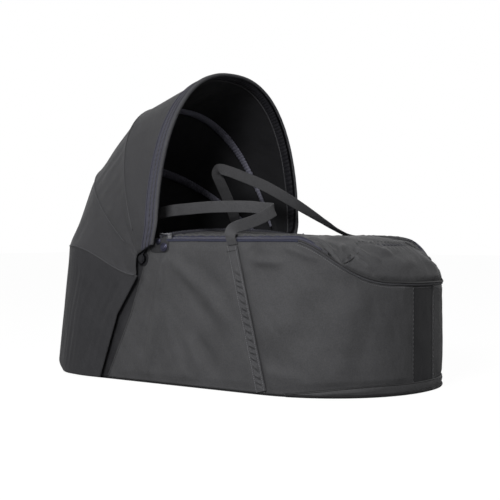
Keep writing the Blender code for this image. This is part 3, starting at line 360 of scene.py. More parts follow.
def straight_place(x):
    return 1 + (x - HEAD_CENTRE_X) / (FOOT_CENTRE_X - HEAD_CENTRE_X)


def foot_place(x):
    share = np.clip((x - FOOT_CENTRE_X) / END_RADIUS, 0, 1) ** (FOOT_POWER / 2)
    return 2 + np.arcsin(share) * 2 / math.pi


STRIP_PLACE = 2 + math.acos((FOOT_STRIP_HALF / BODY_HALF_WIDTH) ** (FOOT_POWER / 2)) * 2 / math.pi
COVER_FIRST = foot_place(COVER_START_X)


# shape of the hood
def arc(which, turn, off):
    """Points of one hood arc; turn runs 0..pi from the right side over the top."""
    lean, rise, power = ARCS[which]
    lean = math.radians(lean)
    across = -(HOOD_HALF_WIDTH + off) * rounded(np.cos(turn), power)
    out = (rise + off) * np.abs(np.sin(turn)) ** (2 / power)
    foot_x, foot_z = PIVOT_X, PIVOT_Z
    if which == "front":
        foot_x = FRONT_FOOT_X - FRONT_FOOT_DRAW * (1 - smooth(out / FRONT_BLEND))
        foot_z = FRONT_FOOT_Z
    x, y, z = np.broadcast_arrays(foot_x + out * math.cos(lean), across,
                                  foot_z + out * math.sin(lean))
    return np.stack((x, y, z), -1)


def hoop_line(which, turn, leg):
    """Centre line of a steel hoop, whose legs stand at their own width."""
    lean, rise, power = ARCS[which]
    lean = math.radians(lean)
    out = (rise - HOOP_UNDER_CLOTH) * np.abs(np.sin(turn)) ** (2 / power)
    return np.stack((PIVOT_X + out * math.cos(lean), -leg * rounded(np.cos(turn), power),
                     PIVOT_Z + out * math.sin(lean)), -1)


def pivot_ways(points):
    """Unit ways from the middle of the hood's pivot through the points."""
    return unit(points - PIVOT)


def skirt_seam_z(x):
    share = smooth((SKIRT_FRONT_TOP[0] - x) / (SKIRT_FRONT_TOP[0] - SKIRT_SEAM_RISE_X))
    return mix(SKIRT_SEAM_FRONT_Z, SKIRT_SEAM_BACK_Z, share)


def skirt(turn, share, off):
    """Points of the skirt; turn -1..1 from its right front edge round the head to the left."""
    turn, share, off = np.broadcast_arrays(np.asarray(turn, float), share, off)
    side = np.where(turn < 0, -1.0, 1.0)
    reach = np.abs(turn)
    top_x = outline(reach * straight_place(SKIRT_FRONT_TOP[0]), 0.0, SKIRT_SEAM_BACK_Z)[..., 0]
    z = mix(BASE_SEAM, skirt_seam_z(top_x), share)
    front_x = edge_x(z, SKIRT_FRONT_LOW, SKIRT_FRONT_MID, SKIRT_FRONT_TOP)
    place = reach * straight_place(front_x)
    straight = outline(place, 0.0, z)
    turned = np.clip(place, 0, 1) * math.pi / 2
    far = HEAD_REACH + SKIRT_TIP_OFF - HEAD_LEAN_SHARE * (z - BASE_SEAM) + off
    far = far - mix(SKIRT_LOW_IN, SKIRT_TOP_IN, share)
    x = np.where(place >= 1, straight[..., 0], HEAD_CENTRE_X - far * np.cos(turned))
    y = (HOOD_HALF_WIDTH + off) * np.where(place >= 1, 1.0, np.sin(turned))
    return np.stack((x, side * y, z), -1)


# meshes
def slumped(points):
    """The far foot corner of the rim hangs low; the head end is tucked in along the floor."""
    x, y, z = points[..., 0], points[..., 1], points[..., 2]
    share = bell(x - SLUMP_X, SLUMP_LONG) * smooth(y / SLUMP_FAR_Y)
    lower = points.copy()
    lower[..., 2] -= SLUMP_DEEP * share * smooth((z - SLUMP_START_Z) / SLUMP_RISE)
    tuck = HEAD_TUCK * np.clip(1 - z / TUCK_HEIGHT, 0, 1) ** 2
    tuck = tuck * smooth((TUCK_START_X - x) / TUCK_BLEND)
    lower[..., 0] += (HEAD_CENTRE_X - x) * tuck
    lower[..., 1] -= y * tuck
    return lower


def smooth_object(name, points, faces, looks, uv=None):
    """Smooth-shaded object; uv holds a place on the cloth for each point."""
    mesh = bpy.data.meshes.new(name)
    mesh.from_pydata(points.reshape(-1, 3).tolist(), [], faces)
    if uv is not None:
        corner = np.zeros(len(mesh.loops), int)
        mesh.loops.foreach_get("vertex_index", corner)
        layer = mesh.uv_layers.new(name="cloth")
        layer.data.foreach_set("uv", uv.reshape(-1, 2)[corner].reshape(-1).astype(np.float32))
    for look in looks:
        mesh.materials.append(look)
    mesh.polygons.foreach_set("use_smooth", [True] * len(mesh.polygons))
    body = bpy.data.objects.new(name, mesh)
    bpy.context.collection.objects.link(body)
    return body


def grid(name, points, looks, thick=0.0, ring=False, uv=None, inner=0, flipped=False):
    """Smooth sheet over a grid of points, thickened inwards by a modifier."""
    columns, rows = points.shape[:2]
    points = slumped(points)
    number = np.arange(columns * rows).reshape(columns, rows)
    here = number if ring else number[:-1]
    there = np.roll(number, -1, 0) if ring else number[1:]
    faces = np.stack((here[:, :-1], there[:, :-1], there[:, 1:], here[:, 1:]), -1).reshape(-1, 4)
    if uv is None:
        across = np.linalg.norm(np.diff(points, axis=0), axis=-1).mean(1)
        along = np.linalg.norm(np.diff(points, axis=1), axis=-1).mean(0)
        u = np.concatenate(([0.0], np.cumsum(across)))[:, None]
        v = np.concatenate(([0.0], np.cumsum(along)))[None, :]
        uv = np.stack(np.broadcast_arrays(u, v), -1)
    body = smooth_object(name, points, faces.tolist(), looks, uv)
    if thick:
        solid = body.modifiers.new("thickness", "SOLIDIFY")
        solid.thickness = thick
        solid.offset = -1.0
        solid.use_even_offset = False
        solid.material_offset = inner
    if flipped:
        body.data.flip_normals()
    return body


def frames(path, hint):
    """Unit along, across and up ways for a path of points; hint gives the up way."""
    along = unit(np.gradient(path, axis=0))
    hint = np.broadcast_to(np.asarray(hint, float), path.shape)
    up = unit(hint - along * np.sum(hint * along, 1, keepdims=True))
    return along, np.cross(along, up), up


def around(path, across, up, profile):
    """Points of a section set up at each station of a path."""
    return (path[:, None] + across[:, None] * profile[..., 0:1]
            + up[:, None] * profile[..., 1:2])


def swept(name, path, hint, profile, look):
    """Closed body through a path; profile is (across, up) points, or a set for each station."""
    _, across, up = frames(path, hint)
    profile = np.asarray(profile, float)
    if profile.ndim == 2:
        profile = np.broadcast_to(profile, (len(path), *profile.shape))
    points = slumped(around(path, across, up, profile))
    count, sides = points.shape[:2]
    number = np.arange(count * sides).reshape(count, sides)
    here, there = number[:-1], number[1:]
    faces = np.stack((here, there, np.roll(there, -1, 1), np.roll(here, -1, 1)), -1)
    faces = faces.reshape(-1, 4).tolist() + [number[0].tolist(), number[-1][::-1].tolist()]
    uv = np.stack(np.broadcast_arrays(run_of(path)[:, None], profile[..., 0]), -1)
    return smooth_object(name, points, faces, [look], uv)


def circle(radius, sides=8, squash=1.0):
    turn = np.arange(sides) * 2 * math.pi / sides
    return np.stack((radius * np.cos(turn), radius * squash * np.sin(turn)), -1)


def oval(wide, high, beat, sides):
    """Oval section at each station; beat swells it station by station."""
    turn = round_turn(sides)
    return np.stack((wide * np.cos(turn) * beat, high * np.sin(turn) * beat), -1)


def resample(path, step):
    """The same line with even spacing."""
    run = run_of(path)
    even = np.linspace(0, run[-1], max(2, int(round(run[-1] / step)) + 1))
    return np.stack([np.interp(even, run, path[:, axis]) for axis in range(path.shape[1])], -1)


def stitches(name, path, hint, look, slot, pitch=0.0034, long=0.0024, thick=0.00035):
    """Run of small thread stitches lying on a line of the cot; hint points off the cloth."""
    even = resample(np.concatenate((path, np.broadcast_to(hint, path.shape)), 1), pitch)
    line, off = even[:, :3], even[:, 3:]
    along, across, up = frames(line, off)
    shares = np.array((-0.5, -0.35, 0.0, 0.35, 0.5))
    wides = np.array((0.35, 0.9, 1.0, 0.9, 0.35))
    ring = circle(1.0, 6)
    points = (line[:, None, None] + along[:, None, None] * (shares * long)[None, :, None, None]
              + across[:, None, None] * (wides[:, None] * ring[:, 0] * thick)[None, :, :, None]
              + up[:, None, None] * (wides[:, None] * ring[:, 1] * thick)[None, :, :, None])
    number = np.arange(points.size // 3).reshape(points.shape[:3])
    after = np.roll(number, -1, 2)
    faces = np.stack((number[:, :-1], number[:, 1:], after[:, 1:], after[:, :-1]), -1)
    faces = faces.reshape(-1, 4).tolist()
    faces += number[:, 0][:, ::-1].tolist() + number[:, -1].tolist()
    wear(smooth_object(name, slumped(points), faces, [look]), "cot", slot)


def wear(piece, body, slot, *nodes):
    """Put a piece on its body and hide the solids it stands for; the finish slot is not used."""
    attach(piece, body)
    if nodes:
        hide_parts(*nodes)


def slide_with_apron(piece):
    """Draw a piece out between the apron's moving head edge and the foot cover."""
    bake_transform(piece, "apron_hem_body", "cot", start=(APRON_HEAD_X, 0.0, 0.255),
             end=(COVER_START_X - 0.025, 0.0, 0.255))


def seam(name, path, hint, radius, look, slot, body="cot", sides=8, squash=1.0, nodes=()):
    """Thin round line on the cloth: a welt, a piping, or a dark line of painted shade in a groove."""
    wear(swept(name, path, hint, circle(radius, sides, squash), look), body, slot, *nodes)


# materials
def look_of(name, colour, roughness, metallic=0.0, specular=0.5, sheen=0.0):
    made = bpy.data.materials.new(name)
    made.use_nodes = True
    shader = made.node_tree.nodes["Principled BSDF"]
    for key, value in (("Base Color", (*colour, 1.0)), ("Roughness", roughness),
                       ("Metallic", metallic), ("Specular IOR Level", specular),
                       ("Sheen Weight", sheen), ("Sheen Roughness", 0.4)):
        shader.inputs[key].default_value = value
    made.diffuse_color = (*colour, 1.0)
    return made


def node(tree, kind, feeds=None, **values):
    """Add a shader node; feeds names the (node, output) that goes into each of its inputs."""
    made = tree.nodes.new(kind)
    for key, value in values.items():
        socket = key.replace("_", " ")
        if socket in made.inputs:
            made.inputs[socket].default_value = value
        else:
            setattr(made, key, value)
    for key, (source, output) in (feeds or {}).items():
        tree.links.new(source.outputs[output], made.inputs[key])
    return made


def spread(tree, source, middle, reach):
    """Map a (node, output) of 0..1 to a range about a middle."""
    return node(tree, "ShaderNodeMapRange", {"Value": source}, To_Min=middle - reach,
                To_Max=middle + reach)


def to_shader(tree, source, output, key):
    """Feed a node's output into an input of the material's own shader."""
    tree.links.new(source.outputs[output], tree.nodes["Principled BSDF"].inputs[key])


def weave_node(tree, thread, twill):
    """Height of crossing threads, laid out on the cloth's own places."""
    place = node(tree, "ShaderNodeUVMap", uv_map="cloth")
    waves = []
    for angle in ((0.35, 1.92) if twill else (0.0, math.pi / 2)):
        turned = node(tree, "ShaderNodeMapping", {"Vector": (place, "UV")},
                      Rotation=(0.0, 0.0, angle))
        waves.append(node(tree, "ShaderNodeTexWave", {"Vector": (turned, "Vector")},
                          Scale=0.5 / thread, Distortion=0.6, Detail=1.0, Detail_Scale=2.0))
    return node(tree, "ShaderNodeMath", {0: (waves[0], "Fac"), 1: (waves[1], "Fac")},
                operation="MAXIMUM")


def dye_and_thread_shade_node(tree, colour, weave, broad, fine):
    """Colour that is uneven in broad and fine spots, and darker between the threads as painted shade."""
    both = node(tree, "ShaderNodeMix", {"A": (broad, "Fac"), "B": (fine, "Fac")},
                data_type="FLOAT", Factor=0.50)
    tone = node(tree, "ShaderNodeValToRGB", {"Fac": (both, "Result")})
    for stop, position, share in zip(tone.color_ramp.elements, (0.32, 0.68), (0.78, 1.22)):
        stop.position = position
        stop.color = (*(part * share for part in colour), 1.0)
    # painted shade: the colour is darker between the threads
    return node(tree, "ShaderNodeMix", {"A": (tone, "Color"), "B": (weave, "Value")},
                data_type="RGBA", blend_type="MULTIPLY", Factor=0.35)


def crease_node(tree, here, threads, strength):
    """Soft creases, drawn out on the slant, over the bumps of the threads."""
    drawn = node(tree, "ShaderNodeMapping", here, vector_type="TEXTURE",
                 Rotation=(0.0, -0.6, 0.0), Scale=(1.0, 1.0, 2.6))
    soft = node(tree, "ShaderNodeTexNoise", {"Vector": (drawn, "Vector")}, Scale=30.0, Detail=1.6,
                Roughness=0.45)
    return node(tree, "ShaderNodeBump", {"Height": (soft, "Fac"), "Normal": (threads, "Normal")},
                Strength=strength, Distance=0.010)


def cloth_look(name, colour, roughness, thread, weave_height, crease=0.5, specular=0.18,
               sheen=0.04, twill=False):
    """Woven cloth: crossing threads with painted shade between them, uneven dye and soft creases."""
    made = look_of(name, colour, roughness, specular=specular, sheen=sheen)
    tree = made.node_tree
    weave = weave_node(tree, thread, twill)
    here = {"Vector": (node(tree, "ShaderNodeTexCoord"), "Object")}
    broad = node(tree, "ShaderNodeTexNoise", here, Scale=14.0, Detail=5.0, Roughness=0.6)
    fine = node(tree, "ShaderNodeTexNoise", here, Scale=430.0, Detail=3.0)
    threads = node(tree, "ShaderNodeBump", {"Height": (weave, "Value")}, Strength=0.5,
                   Distance=weave_height)
    to_shader(tree, dye_and_thread_shade_node(tree, colour, weave, broad, fine), "Result", "Base Color")
    to_shader(tree, spread(tree, (broad, "Fac"), roughness, 0.08), "Result", "Roughness")
    to_shader(tree, crease_node(tree, here, threads, crease), "Normal", "Normal")
    return made


def metal_look(name, colour, roughness):
    """Metal with a fine uneven grain."""
    made = look_of(name, colour, roughness, 1.0)
    tree = made.node_tree
    spot = node(tree, "ShaderNodeTexCoord")
    grain = node(tree, "ShaderNodeTexNoise", {"Vector": (spot, "Object")}, Scale=600.0, Detail=3.0)
    bump = node(tree, "ShaderNodeBump", {"Height": (grain, "Fac")}, Strength=0.15, Distance=0.0002)
    rough = spread(tree, (grain, "Fac"), roughness, roughness * 0.25)
    to_shader(tree, rough, "Result", "Roughness")
    to_shader(tree, bump, "Normal", "Normal")
    return made


FINE_THREAD = 0.0009


def nylon_look(name, colour, roughness, **more):
    return cloth_look(name, colour, roughness, FINE_THREAD, 0.00012, **more)


BODY_CLOTH = nylon_look("nylon_body", (0.064, 0.064, 0.067), 0.62)
# painted shade: the hood's nylon is set darker than the body's to stand in for less light on the hood
HOOD_CLOTH_PAINTED_SHADE = nylon_look("nylon_hood_painted_shade", (0.043, 0.043, 0.046), 0.64, crease=0.4)
COVER_CLOTH = nylon_look("nylon_cover", (0.072, 0.072, 0.075), 0.60)
# painted shade: the skirt's nylon is set darker than the body's for the shade under the hood; the head panel
# and the snap tabs wear it too
SKIRT_CLOTH_PAINTED_SHADE = nylon_look("nylon_skirt_painted_shade", (0.031, 0.031, 0.034), 0.66)
# painted shade: the foot strip's nylon is set far darker than the sides' to stand in for the shade at the
# foot end
FOOT_CLOTH_PAINTED_SHADE = nylon_look("nylon_foot_painted_shade", (0.021, 0.021, 0.023), 0.66)
SOLE_CLOTH = cloth_look("nylon_sole", (0.012, 0.012, 0.013), 0.7, 0.0012, 0.0002)
LINING = cloth_look("cotton_lining", (0.012, 0.012, 0.013), 0.85, 0.0008, 0.0001, specular=0.1)
HOOD_LINING = cloth_look("hood_lining", (0.016, 0.016, 0.018), 0.8, 0.0008, 0.0001, crease=0.3)
HOOP_TAPE = cloth_look("hoop_tape", (0.170, 0.170, 0.215), 0.6, FINE_THREAD, 0.0003, crease=0.3)
ZIP_TAPE = cloth_look("zip_tape", (0.036, 0.038, 0.062), 0.6, FINE_THREAD, 0.0002)
ZIP_LINE = look_of("zip_line", (0.010, 0.012, 0.028), 0.5)
PIPING = cloth_look("piping_cloth", (0.072, 0.072, 0.078), 0.7, FINE_THREAD, 0.0002, crease=0.2)
FACING = cloth_look("hem_facing", (0.020, 0.020, 0.024), 0.55, FINE_THREAD, 0.0002, crease=0.3)
MATTRESS_CLOTH = cloth_look("knit_mattress", (0.16, 0.16, 0.17), 0.9, 0.0016, 0.0003, sheen=0.3)
TAPE = cloth_look("ribbed_tape", (0.060, 0.060, 0.080), 0.7, 0.0011, 0.0003, crease=0.2)
ELASTIC = cloth_look("gathered_elastic", (0.050, 0.050, 0.062), 0.75, 0.0010, 0.0003, crease=0.3)
WEBBING = cloth_look("webbing_twill", (0.072, 0.072, 0.076), 0.68, 0.0016, 0.0004, twill=True)
FOAM_LOOK = look_of("foam", (0.26, 0.26, 0.27), 0.95, specular=0.1)
THREAD = look_of("thread", (0.150, 0.150, 0.160), 0.6)
DIM_THREAD = look_of("dim_thread", (0.062, 0.062, 0.066), 0.6)
# dark thread for the real stitches, and painted shade for the dark lines in grooves, folds and creases
DARK_THREAD_AND_GROOVE_SHADE = look_of("dark_thread_and_groove_shade", (0.008, 0.008, 0.009), 0.6)
COIL = look_of("zip_coil_nylon", (0.030, 0.030, 0.050), 0.45)


# walls, base and inside of the body
def side_surface(side, share, level, lift):
    """Point of a side panel: share 0 at the slanted seam, 1 at the foot seam; level 0..1 up."""
    share, level, lift = np.broadcast_arrays(np.asarray(share, float), level, lift)
    seam_share = 0.10
    place = mix(straight_place(RIM_DROP_TOP_X), STRIP_PLACE,
                np.clip((share - seam_share) / (1 - seam_share), 0, 1))
    x = outline_x(place)
    z = mix(side_bottom(x), fabric_top(x), level)
    whole = outline(side * place, -lift, z)
    from_seam = np.clip(share / seam_share, 0, 1)
    near_z = mix(BASE_SEAM, fabric_top(HEAD_SEAM_TOP[0]), level)
    near_x = mix(slanted(near_z), RIM_DROP_TOP_X, from_seam)
    near = np.stack((near_x, side * (BODY_HALF_WIDTH + lift), mix(near_z, z, from_seam)), -1)
    return np.where((share < seam_share)[..., None], near, whole)


# folds of the side, as (x0, z0, x1, z1, half width, height)
SIDE_FOLDS = (
    (-0.002, 0.228, -0.020, 0.140, 0.0085, 0.0050), (-0.020, 0.145, -0.048, 0.008, 0.0095, 0.0052),
    (-0.030, 0.190, -0.062, 0.040, 0.0080, -0.0040), (-0.002, 0.120, -0.026, 0.010, 0.0110, -0.0036),
    (0.008, 0.216, 0.078, 0.160, 0.0120, 0.0048), (0.074, 0.166, 0.140, 0.104, 0.0150, 0.0046),
    (0.030, 0.178, 0.100, 0.112, 0.0130, -0.0034), (0.060, 0.214, 0.128, 0.150, 0.0120, -0.0024),
    (0.044, 0.092, 0.078, 0.020, 0.0120, 0.0036), (0.070, 0.086, 0.112, 0.022, 0.0110, -0.0030),
    (0.018, 0.070, 0.040, 0.012, 0.0100, 0.0028), (0.176, 0.232, 0.190, 0.224, 0.0100, -0.0036),
    (0.180, 0.211, 0.240, 0.208, 0.0075, 0.0044), (0.236, 0.240, 0.290, 0.212, 0.0065, 0.0030),
    (0.178, 0.190, 0.216, 0.060, 0.0200, 0.0030), (0.200, 0.040, 0.270, 0.028, 0.0110, 0.0030),
    (0.262, 0.060, 0.292, 0.170, 0.0180, -0.0030), (0.310, 0.026, 0.345, 0.190, 0.0150, 0.0030),
    (0.340, 0.196, 0.362, 0.120, 0.0100, -0.0026))


def held_down(x, z):
    """Share of lift left beside the sewn strap and the snap tab, which hold the cloth flat."""
    strap_rise = FRONT_ANCHOR[1] - STRAP_TOP_DROP - STRAP_LOW_Z
    strap_x = mix(STRAP_FRONT_LOW_X, FRONT_ANCHOR[0], (z - STRAP_LOW_Z) / strap_rise)
    strap = np.exp(-((x - strap_x) / 0.015) ** 4)
    tab = np.exp(-((x - TAB_X) / 0.032) ** 4 - ((z - TAB_Z) / 0.020) ** 4)
    return 1 - np.maximum(strap, tab)


def side_lift(side, share, level, run, z):
    """How far the cloth of a side stands off its wall, with its folds and the rim's puckers."""
    lift = folds(run, z, SIDE_FOLDS)
    lift += 0.0016 * ripple(run, z, 11 + side, 0.09)
    lift += 0.0004 * ripple(run, z, 15 + side, 0.030)
    edge = fade_ends(level, 14) * smooth(share * 20)
    lift = (lift + SIDE_OFF) * edge * smooth((1 - share) * 20) * held_down(run, z)
    lift = (lift + np.sqrt(lift ** 2 + 0.0008 ** 2)) / 2
    pucker = 0.0003 * wave(run, RIM_PUCKER, 2 * wander(run, 5, 0.05))
    return lift + pucker * np.exp(-((1 - level) * 0.24 / 0.010)) * smooth(share * 20)


def build_walls():
    share = np.linspace(0, 1, 260)[:, None]
    level = np.linspace(0, 1, 90)[None, :]
    for label, side in SIDES:
        base = side_surface(side, share, level, 0.0)
        lift = side_lift(side, share, level, base[..., 0], base[..., 2])
        piece = grid("side_cloth_" + label, side_surface(side, share, level, lift),
                     [BODY_CLOTH, LINING], CLOTH_THICK, flipped=side > 0)
        wear(piece, "cot", "body_cloth", "side_panel_" + label)


def build_head_wall():
    """Cloth round the head end, with a straight run to the slanted seam in its outer shares."""
    columns, rows = 200, 70
    steady_x, curve_share = -0.160, 0.8
    share = np.linspace(-1, 1, columns)[:, None] * np.ones((1, rows))
    level = np.linspace(0, 1, rows)[None, :] * np.ones((columns, 1))
    side = np.where(share < 0, -1.0, 1.0)
    straight = np.clip((np.abs(share) - curve_share) / (1 - curve_share), 0, 1)
    place = mix(0.0, straight_place(steady_x), np.clip(np.abs(share) / curve_share, 0, 1))
    z = mix(BASE_SEAM, fabric_top(mix(outline_x(place), HEAD_SEAM_TOP[0], straight)), level)
    edge = fade_ends(level, 12) * smooth((1 - straight) * 4)
    lift = (HEAD_OFF + 0.0010 * ripple(share * 0.5, z, 21, 0.08)) * edge
    curved = outline(side * place, -lift, z)
    flat = np.stack((mix(steady_x, slanted(z), straight), side * (BODY_HALF_WIDTH + lift), z), -1)
    # the head panel wears the skirt's nylon, darkened as painted shade
    piece = grid("head_cloth", np.where((straight > 0)[..., None], flat, curved),
                 [SKIRT_CLOTH_PAINTED_SHADE, LINING], CLOTH_THICK, flipped=True)
    wear(piece, "cot", "head_cloth", "head_panel")


def build_foot_wall():
    place = mix(STRIP_PLACE, 6 - STRIP_PLACE, np.linspace(0, 1, 60))[:, None]
    level = np.linspace(0, 1, 90)[None, :]
    x = outline_x(place)
    z = mix(side_bottom(x), fabric_top(x), level)
    ends = np.minimum(place - STRIP_PLACE, 6 - STRIP_PLACE - place)
    edge = fade_ends(level, 12) * smooth(ends * 12)
    lift = (FOOT_OFF + 0.0008 * ripple(place * 0.3, z, 31, 0.07)) * edge
    # the foot strip wears the nylon darkened as painted shade
    piece = grid("foot_cloth", outline(place, -lift, z), [FOOT_CLOTH_PAINTED_SHADE, LINING], CLOTH_THICK,
                 flipped=True)
    wear(piece, "cot", "body_cloth", "foot_panel")


def band(name, places, outer, inner, low, high, look, rows=24, lift=None, ring=False, power=5):
    """Closed band of the wall with a rounded section, for foam, tape and sleeve."""
    section = np.linspace(0, 2 * math.pi, rows + 1)
    across = (rounded(np.cos(section), power) + 1) / 2
    climb = (rounded(np.sin(section), power) + 1) / 2
    x = outline_x(places)[:, None]
    z = mix(low(x), high(x), climb[None, :])
    inset = mix(inner, outer, across)[None, :] + np.zeros_like(z)
    if lift is not None:
        inset = inset - lift(x + 0 * z, z) * across[None, :]
    points = outline(places[:, None] + 0 * z, inset, z)
    if not ring:
        first, last = points[:1].mean(1, keepdims=True), points[-1:].mean(1, keepdims=True)
        points = np.concatenate((first + 0 * points[:1], points, last + 0 * points[-1:]))
    return grid(name, points, [look], ring=ring)


def round_places(count):
    """Even places once round the outline."""
    return np.linspace(0, 6, count + 1)[:-1]


def spine(edge, z):
    """An edge's points drawn in to the middle line of the body, at one height."""
    x = np.clip(edge[:, 0], HEAD_CENTRE_X, FOOT_CENTRE_X)
    return np.stack((x, 0 * x, z + 0 * x), -1)[:, None]


def build_sole():
    """Base with a rounded edge, from the middle line of its floor to that of its top."""
    insets = np.array((0.060, 0.012, 0.003, 0.0008, 0.0, 0.0006, 0.010, 0.060))
    heights = np.array((0.0, 0.0, 0.0, 0.0004, 0.0015, 0.0028, 0.0030, 0.0030))
    points = outline(round_places(360)[:, None], insets[None, :], heights[None, :])
    edge = points[:, 0]
    piece = grid("sole", np.concatenate((spine(edge, 0.0), points, spine(edge, heights[-1])), 1),
                 [SOLE_CLOTH], ring=True)
    wear(piece, "cot", "base_fabric", "base_tray")


SLEEVE_FOLDS = ((0.27, 0.004, 0.36, 0.012, 0.003, 0.0016),
                (0.30, 0.010, 0.37, 0.016, 0.003, 0.0012))


def sleeve_lift(x, z):
    """How far the low sleeve stands off the wall."""
    return SLEEVE_OFF + folds(x, z, SLEEVE_FOLDS) + 0.0010 * ripple(x, z, 41, 0.022)


def build_sleeve():
    """Low sleeve round the foot end, with a dark line of painted shade in its groove, the sole's edge, and a
    dark line of painted shade for a fold at each end.
    """
    first = foot_place(SLEEVE_START_X)
    sleeve = band("sleeve_cloth", np.linspace(first, 6 - first, 260), 0.0, FABRIC, floor_seam,
                  lambda x: base_seam(x) - CLEAR + 0.0004, BODY_CLOTH, lift=sleeve_lift, power=3.2)
    wear(sleeve, "cot", "base_fabric", "foot_sleeve")
    even = np.linspace(first + 0.01, 6 - first - 0.01, 300)
    seam_z = base_seam(outline_x(even))
    out = outward(even, 0.01)
    seam("sleeve_groove", outline(even, -0.0014, seam_z + 0.0002), out, DEEP_GROOVE,
         DARK_THREAD_AND_GROOVE_SHADE, "base_fabric")
    seam("sole_edge", outline(even, -0.0008, 0.0029), out, SOLE_EDGE, SOLE_CLOTH,
         "base_fabric", sides=10)
    for label, side in SIDES:
        line = outline(side * (first + 0.012), -0.0026, np.linspace(0.0050, float(seam_z[0]), 12))
        seam("sleeve_fold_" + label, line, out[:1] * np.array((1, side, 1)), DEEP_GROOVE,
             DARK_THREAD_AND_GROOVE_SHADE, "base_fabric")


def under_binding(x):
    """Height where the foam and the lining stop below the rim's tape."""
    return fabric_top(x) - BINDING - CLEAR


def build_foam():
    """Foam boards in the walls, split beside the head seam and at the ends of the foot curve."""
    split = straight_place(FOAM_SPLIT_X)
    gap = 0.002
    for name, first, last in (("head", -split, split), ("left", split, 2.0), ("foot", 2.0, 4.0),
                              ("right", 4.0, 6 - split)):
        piece = band("wall_pad_" + name, np.linspace(first + gap, last - gap, 70), INSET_FOAM,
                     INSET_FOAM + FOAM_THICK, floor_seam, under_binding, FOAM_LOOK, rows=20,
                     power=8)
        wear(piece, "cot", "foam", "foam_" + name)


def build_lining():
    """Lining round the inside of the walls, and the tape that binds the rim over it."""
    ring = round_places(420)
    level = np.linspace(0, 1, 60)[None, :]
    z = mix(BASE_SEAM, under_binding(outline_x(ring)[:, None]), level)
    push = 0.0010 * ripple(ring[:, None] * PLACE_LONG, z, 51, 0.05) + LINING_OFF
    points = outline(ring[:, None], INSET_LINING + push * fade_ends(level, 8), z)
    piece = grid("lining_cloth", points, [LINING], TAPE_THICK, ring=True)
    wear(piece, "cot", "lining_cloth", "lining")
    tape = band("rim_tape", ring, INSET_FOAM, INSET_INNER,
                lambda x: fabric_top(x) - BINDING, lambda x: fabric_top(x) + 0.0004, TAPE,
                rows=22, ring=True, power=3.2)
    wear(tape, "cot", "binding_cloth", "rim_binding")


def build_mattress():
    """Crowned pad with drawn-in sides and rows of quilting across its top."""
    side = INSET_INNER + 0.004
    low, high, crown_rise, edge_pull = 0.0086, 0.0276, 0.009, 0.006
    climb = np.linspace(0, 1, 22)
    pull = edge_pull * (1 - np.sin(math.pi * climb) ** 0.5)
    run_in = np.linspace(0, 1, 34) ** 1.3
    insets = np.concatenate((side + pull, side + edge_pull + 0.150 * run_in))
    crown = crown_rise * np.sqrt(1 - (1 - np.clip(run_in * 1.6, 0, 1)) ** 2)
    heights = np.concatenate((mix(low, high, climb), high + crown))
    points = outline(round_places(240)[:, None], insets[None, :], heights[None, :])
    dip = 0.0016 * bell(np.mod(points[..., 0] + 0.05, 0.1) - 0.05, 0.004)
    points[..., 2] -= dip * (np.arange(len(heights)) > len(climb) + 4)[None, :]
    edge = points[:, -1]
    piece = grid("mattress_pad", np.concatenate((spine(edge, low), points[:, :1], points,
                                                 spine(edge, high + crown_rise)), 1),
                 [MATTRESS_CLOTH], ring=True)
    wear(piece, "cot", "mattress_cloth", "mattress")


# foot cover and apron
def cover_surface(place, climb, lift):
    """Foot cover: climb 0..1 goes up the dome, 1..2 runs in to the tip."""
    place, climb, lift = np.broadcast_arrays(np.asarray(place, float), climb, lift)
    x = outline_x(place)
    edge_inset = LID_EDGE * (1 - smooth((x - COVER_BLEND_START_X) / COVER_BLEND))
    edge_z = rim_height(x) - SEAM_DROP
    turn = np.clip(climb, 0, 1) * math.pi / 2
    inset = edge_inset + DOME_WIDTH * (1 - np.cos(turn)) - lift * np.cos(turn)
    z = mix(edge_z, CROWN_HEIGHT, np.sin(turn)) + lift * np.sin(turn)
    dome = outline(place, inset, z)
    brow = outline(place, edge_inset + DOME_WIDTH, CROWN_HEIGHT + lift)
    tip = np.stack((COVER_TIP_X + 0 * lift, 0 * lift, CROWN_HEIGHT + lift), -1)
    fan_in = brow + (tip - brow) * np.clip(climb - 1, 0, 1)[..., None]
    return np.where((climb > 1)[..., None], fan_in, dome)


def cover_out(place, climb, reach=0.02):
    return cover_surface(place, climb, reach) - cover_surface(place, climb, 0.0)


# folds of the cover, as (round0, up0, round1, up1, half width, height)
COVER_FOLDS = (
    (0.142, 0.040, 0.108, 0.012, 0.0050, 0.0046), (0.132, 0.030, 0.104, 0.004, 0.0045, -0.0030),
    (0.134, 0.052, 0.088, 0.032, 0.0055, 0.0040), (0.120, 0.052, 0.082, 0.022, 0.0050, -0.0026),
    (0.100, 0.062, 0.050, 0.046, 0.0060, 0.0036), (0.092, 0.036, 0.030, 0.052, 0.0070, -0.0028),
    (0.060, 0.024, 0.010, 0.036, 0.0080, 0.0030), (0.166, 0.030, 0.150, 0.060, 0.0055, 0.0040),
    (0.180, 0.055, 0.160, 0.030, 0.0050, -0.0034), (0.205, 0.040, 0.186, 0.010, 0.0060, 0.0040),
    (0.225, 0.030, 0.205, 0.060, 0.0070, -0.0026), (0.190, 0.080, 0.120, 0.088, 0.0080, 0.0034),
    (0.100, 0.086, 0.040, 0.080, 0.0080, -0.0026))


def gather_climb(place):
    """The drawn line of the cover, which runs down to the seam at both sides."""
    fall = smooth((np.abs(place - 3) - GATHER_LEVEL_HALF) / GATHER_FALL)
    return GATHER_ANGLE / 90 * (1 - fall)


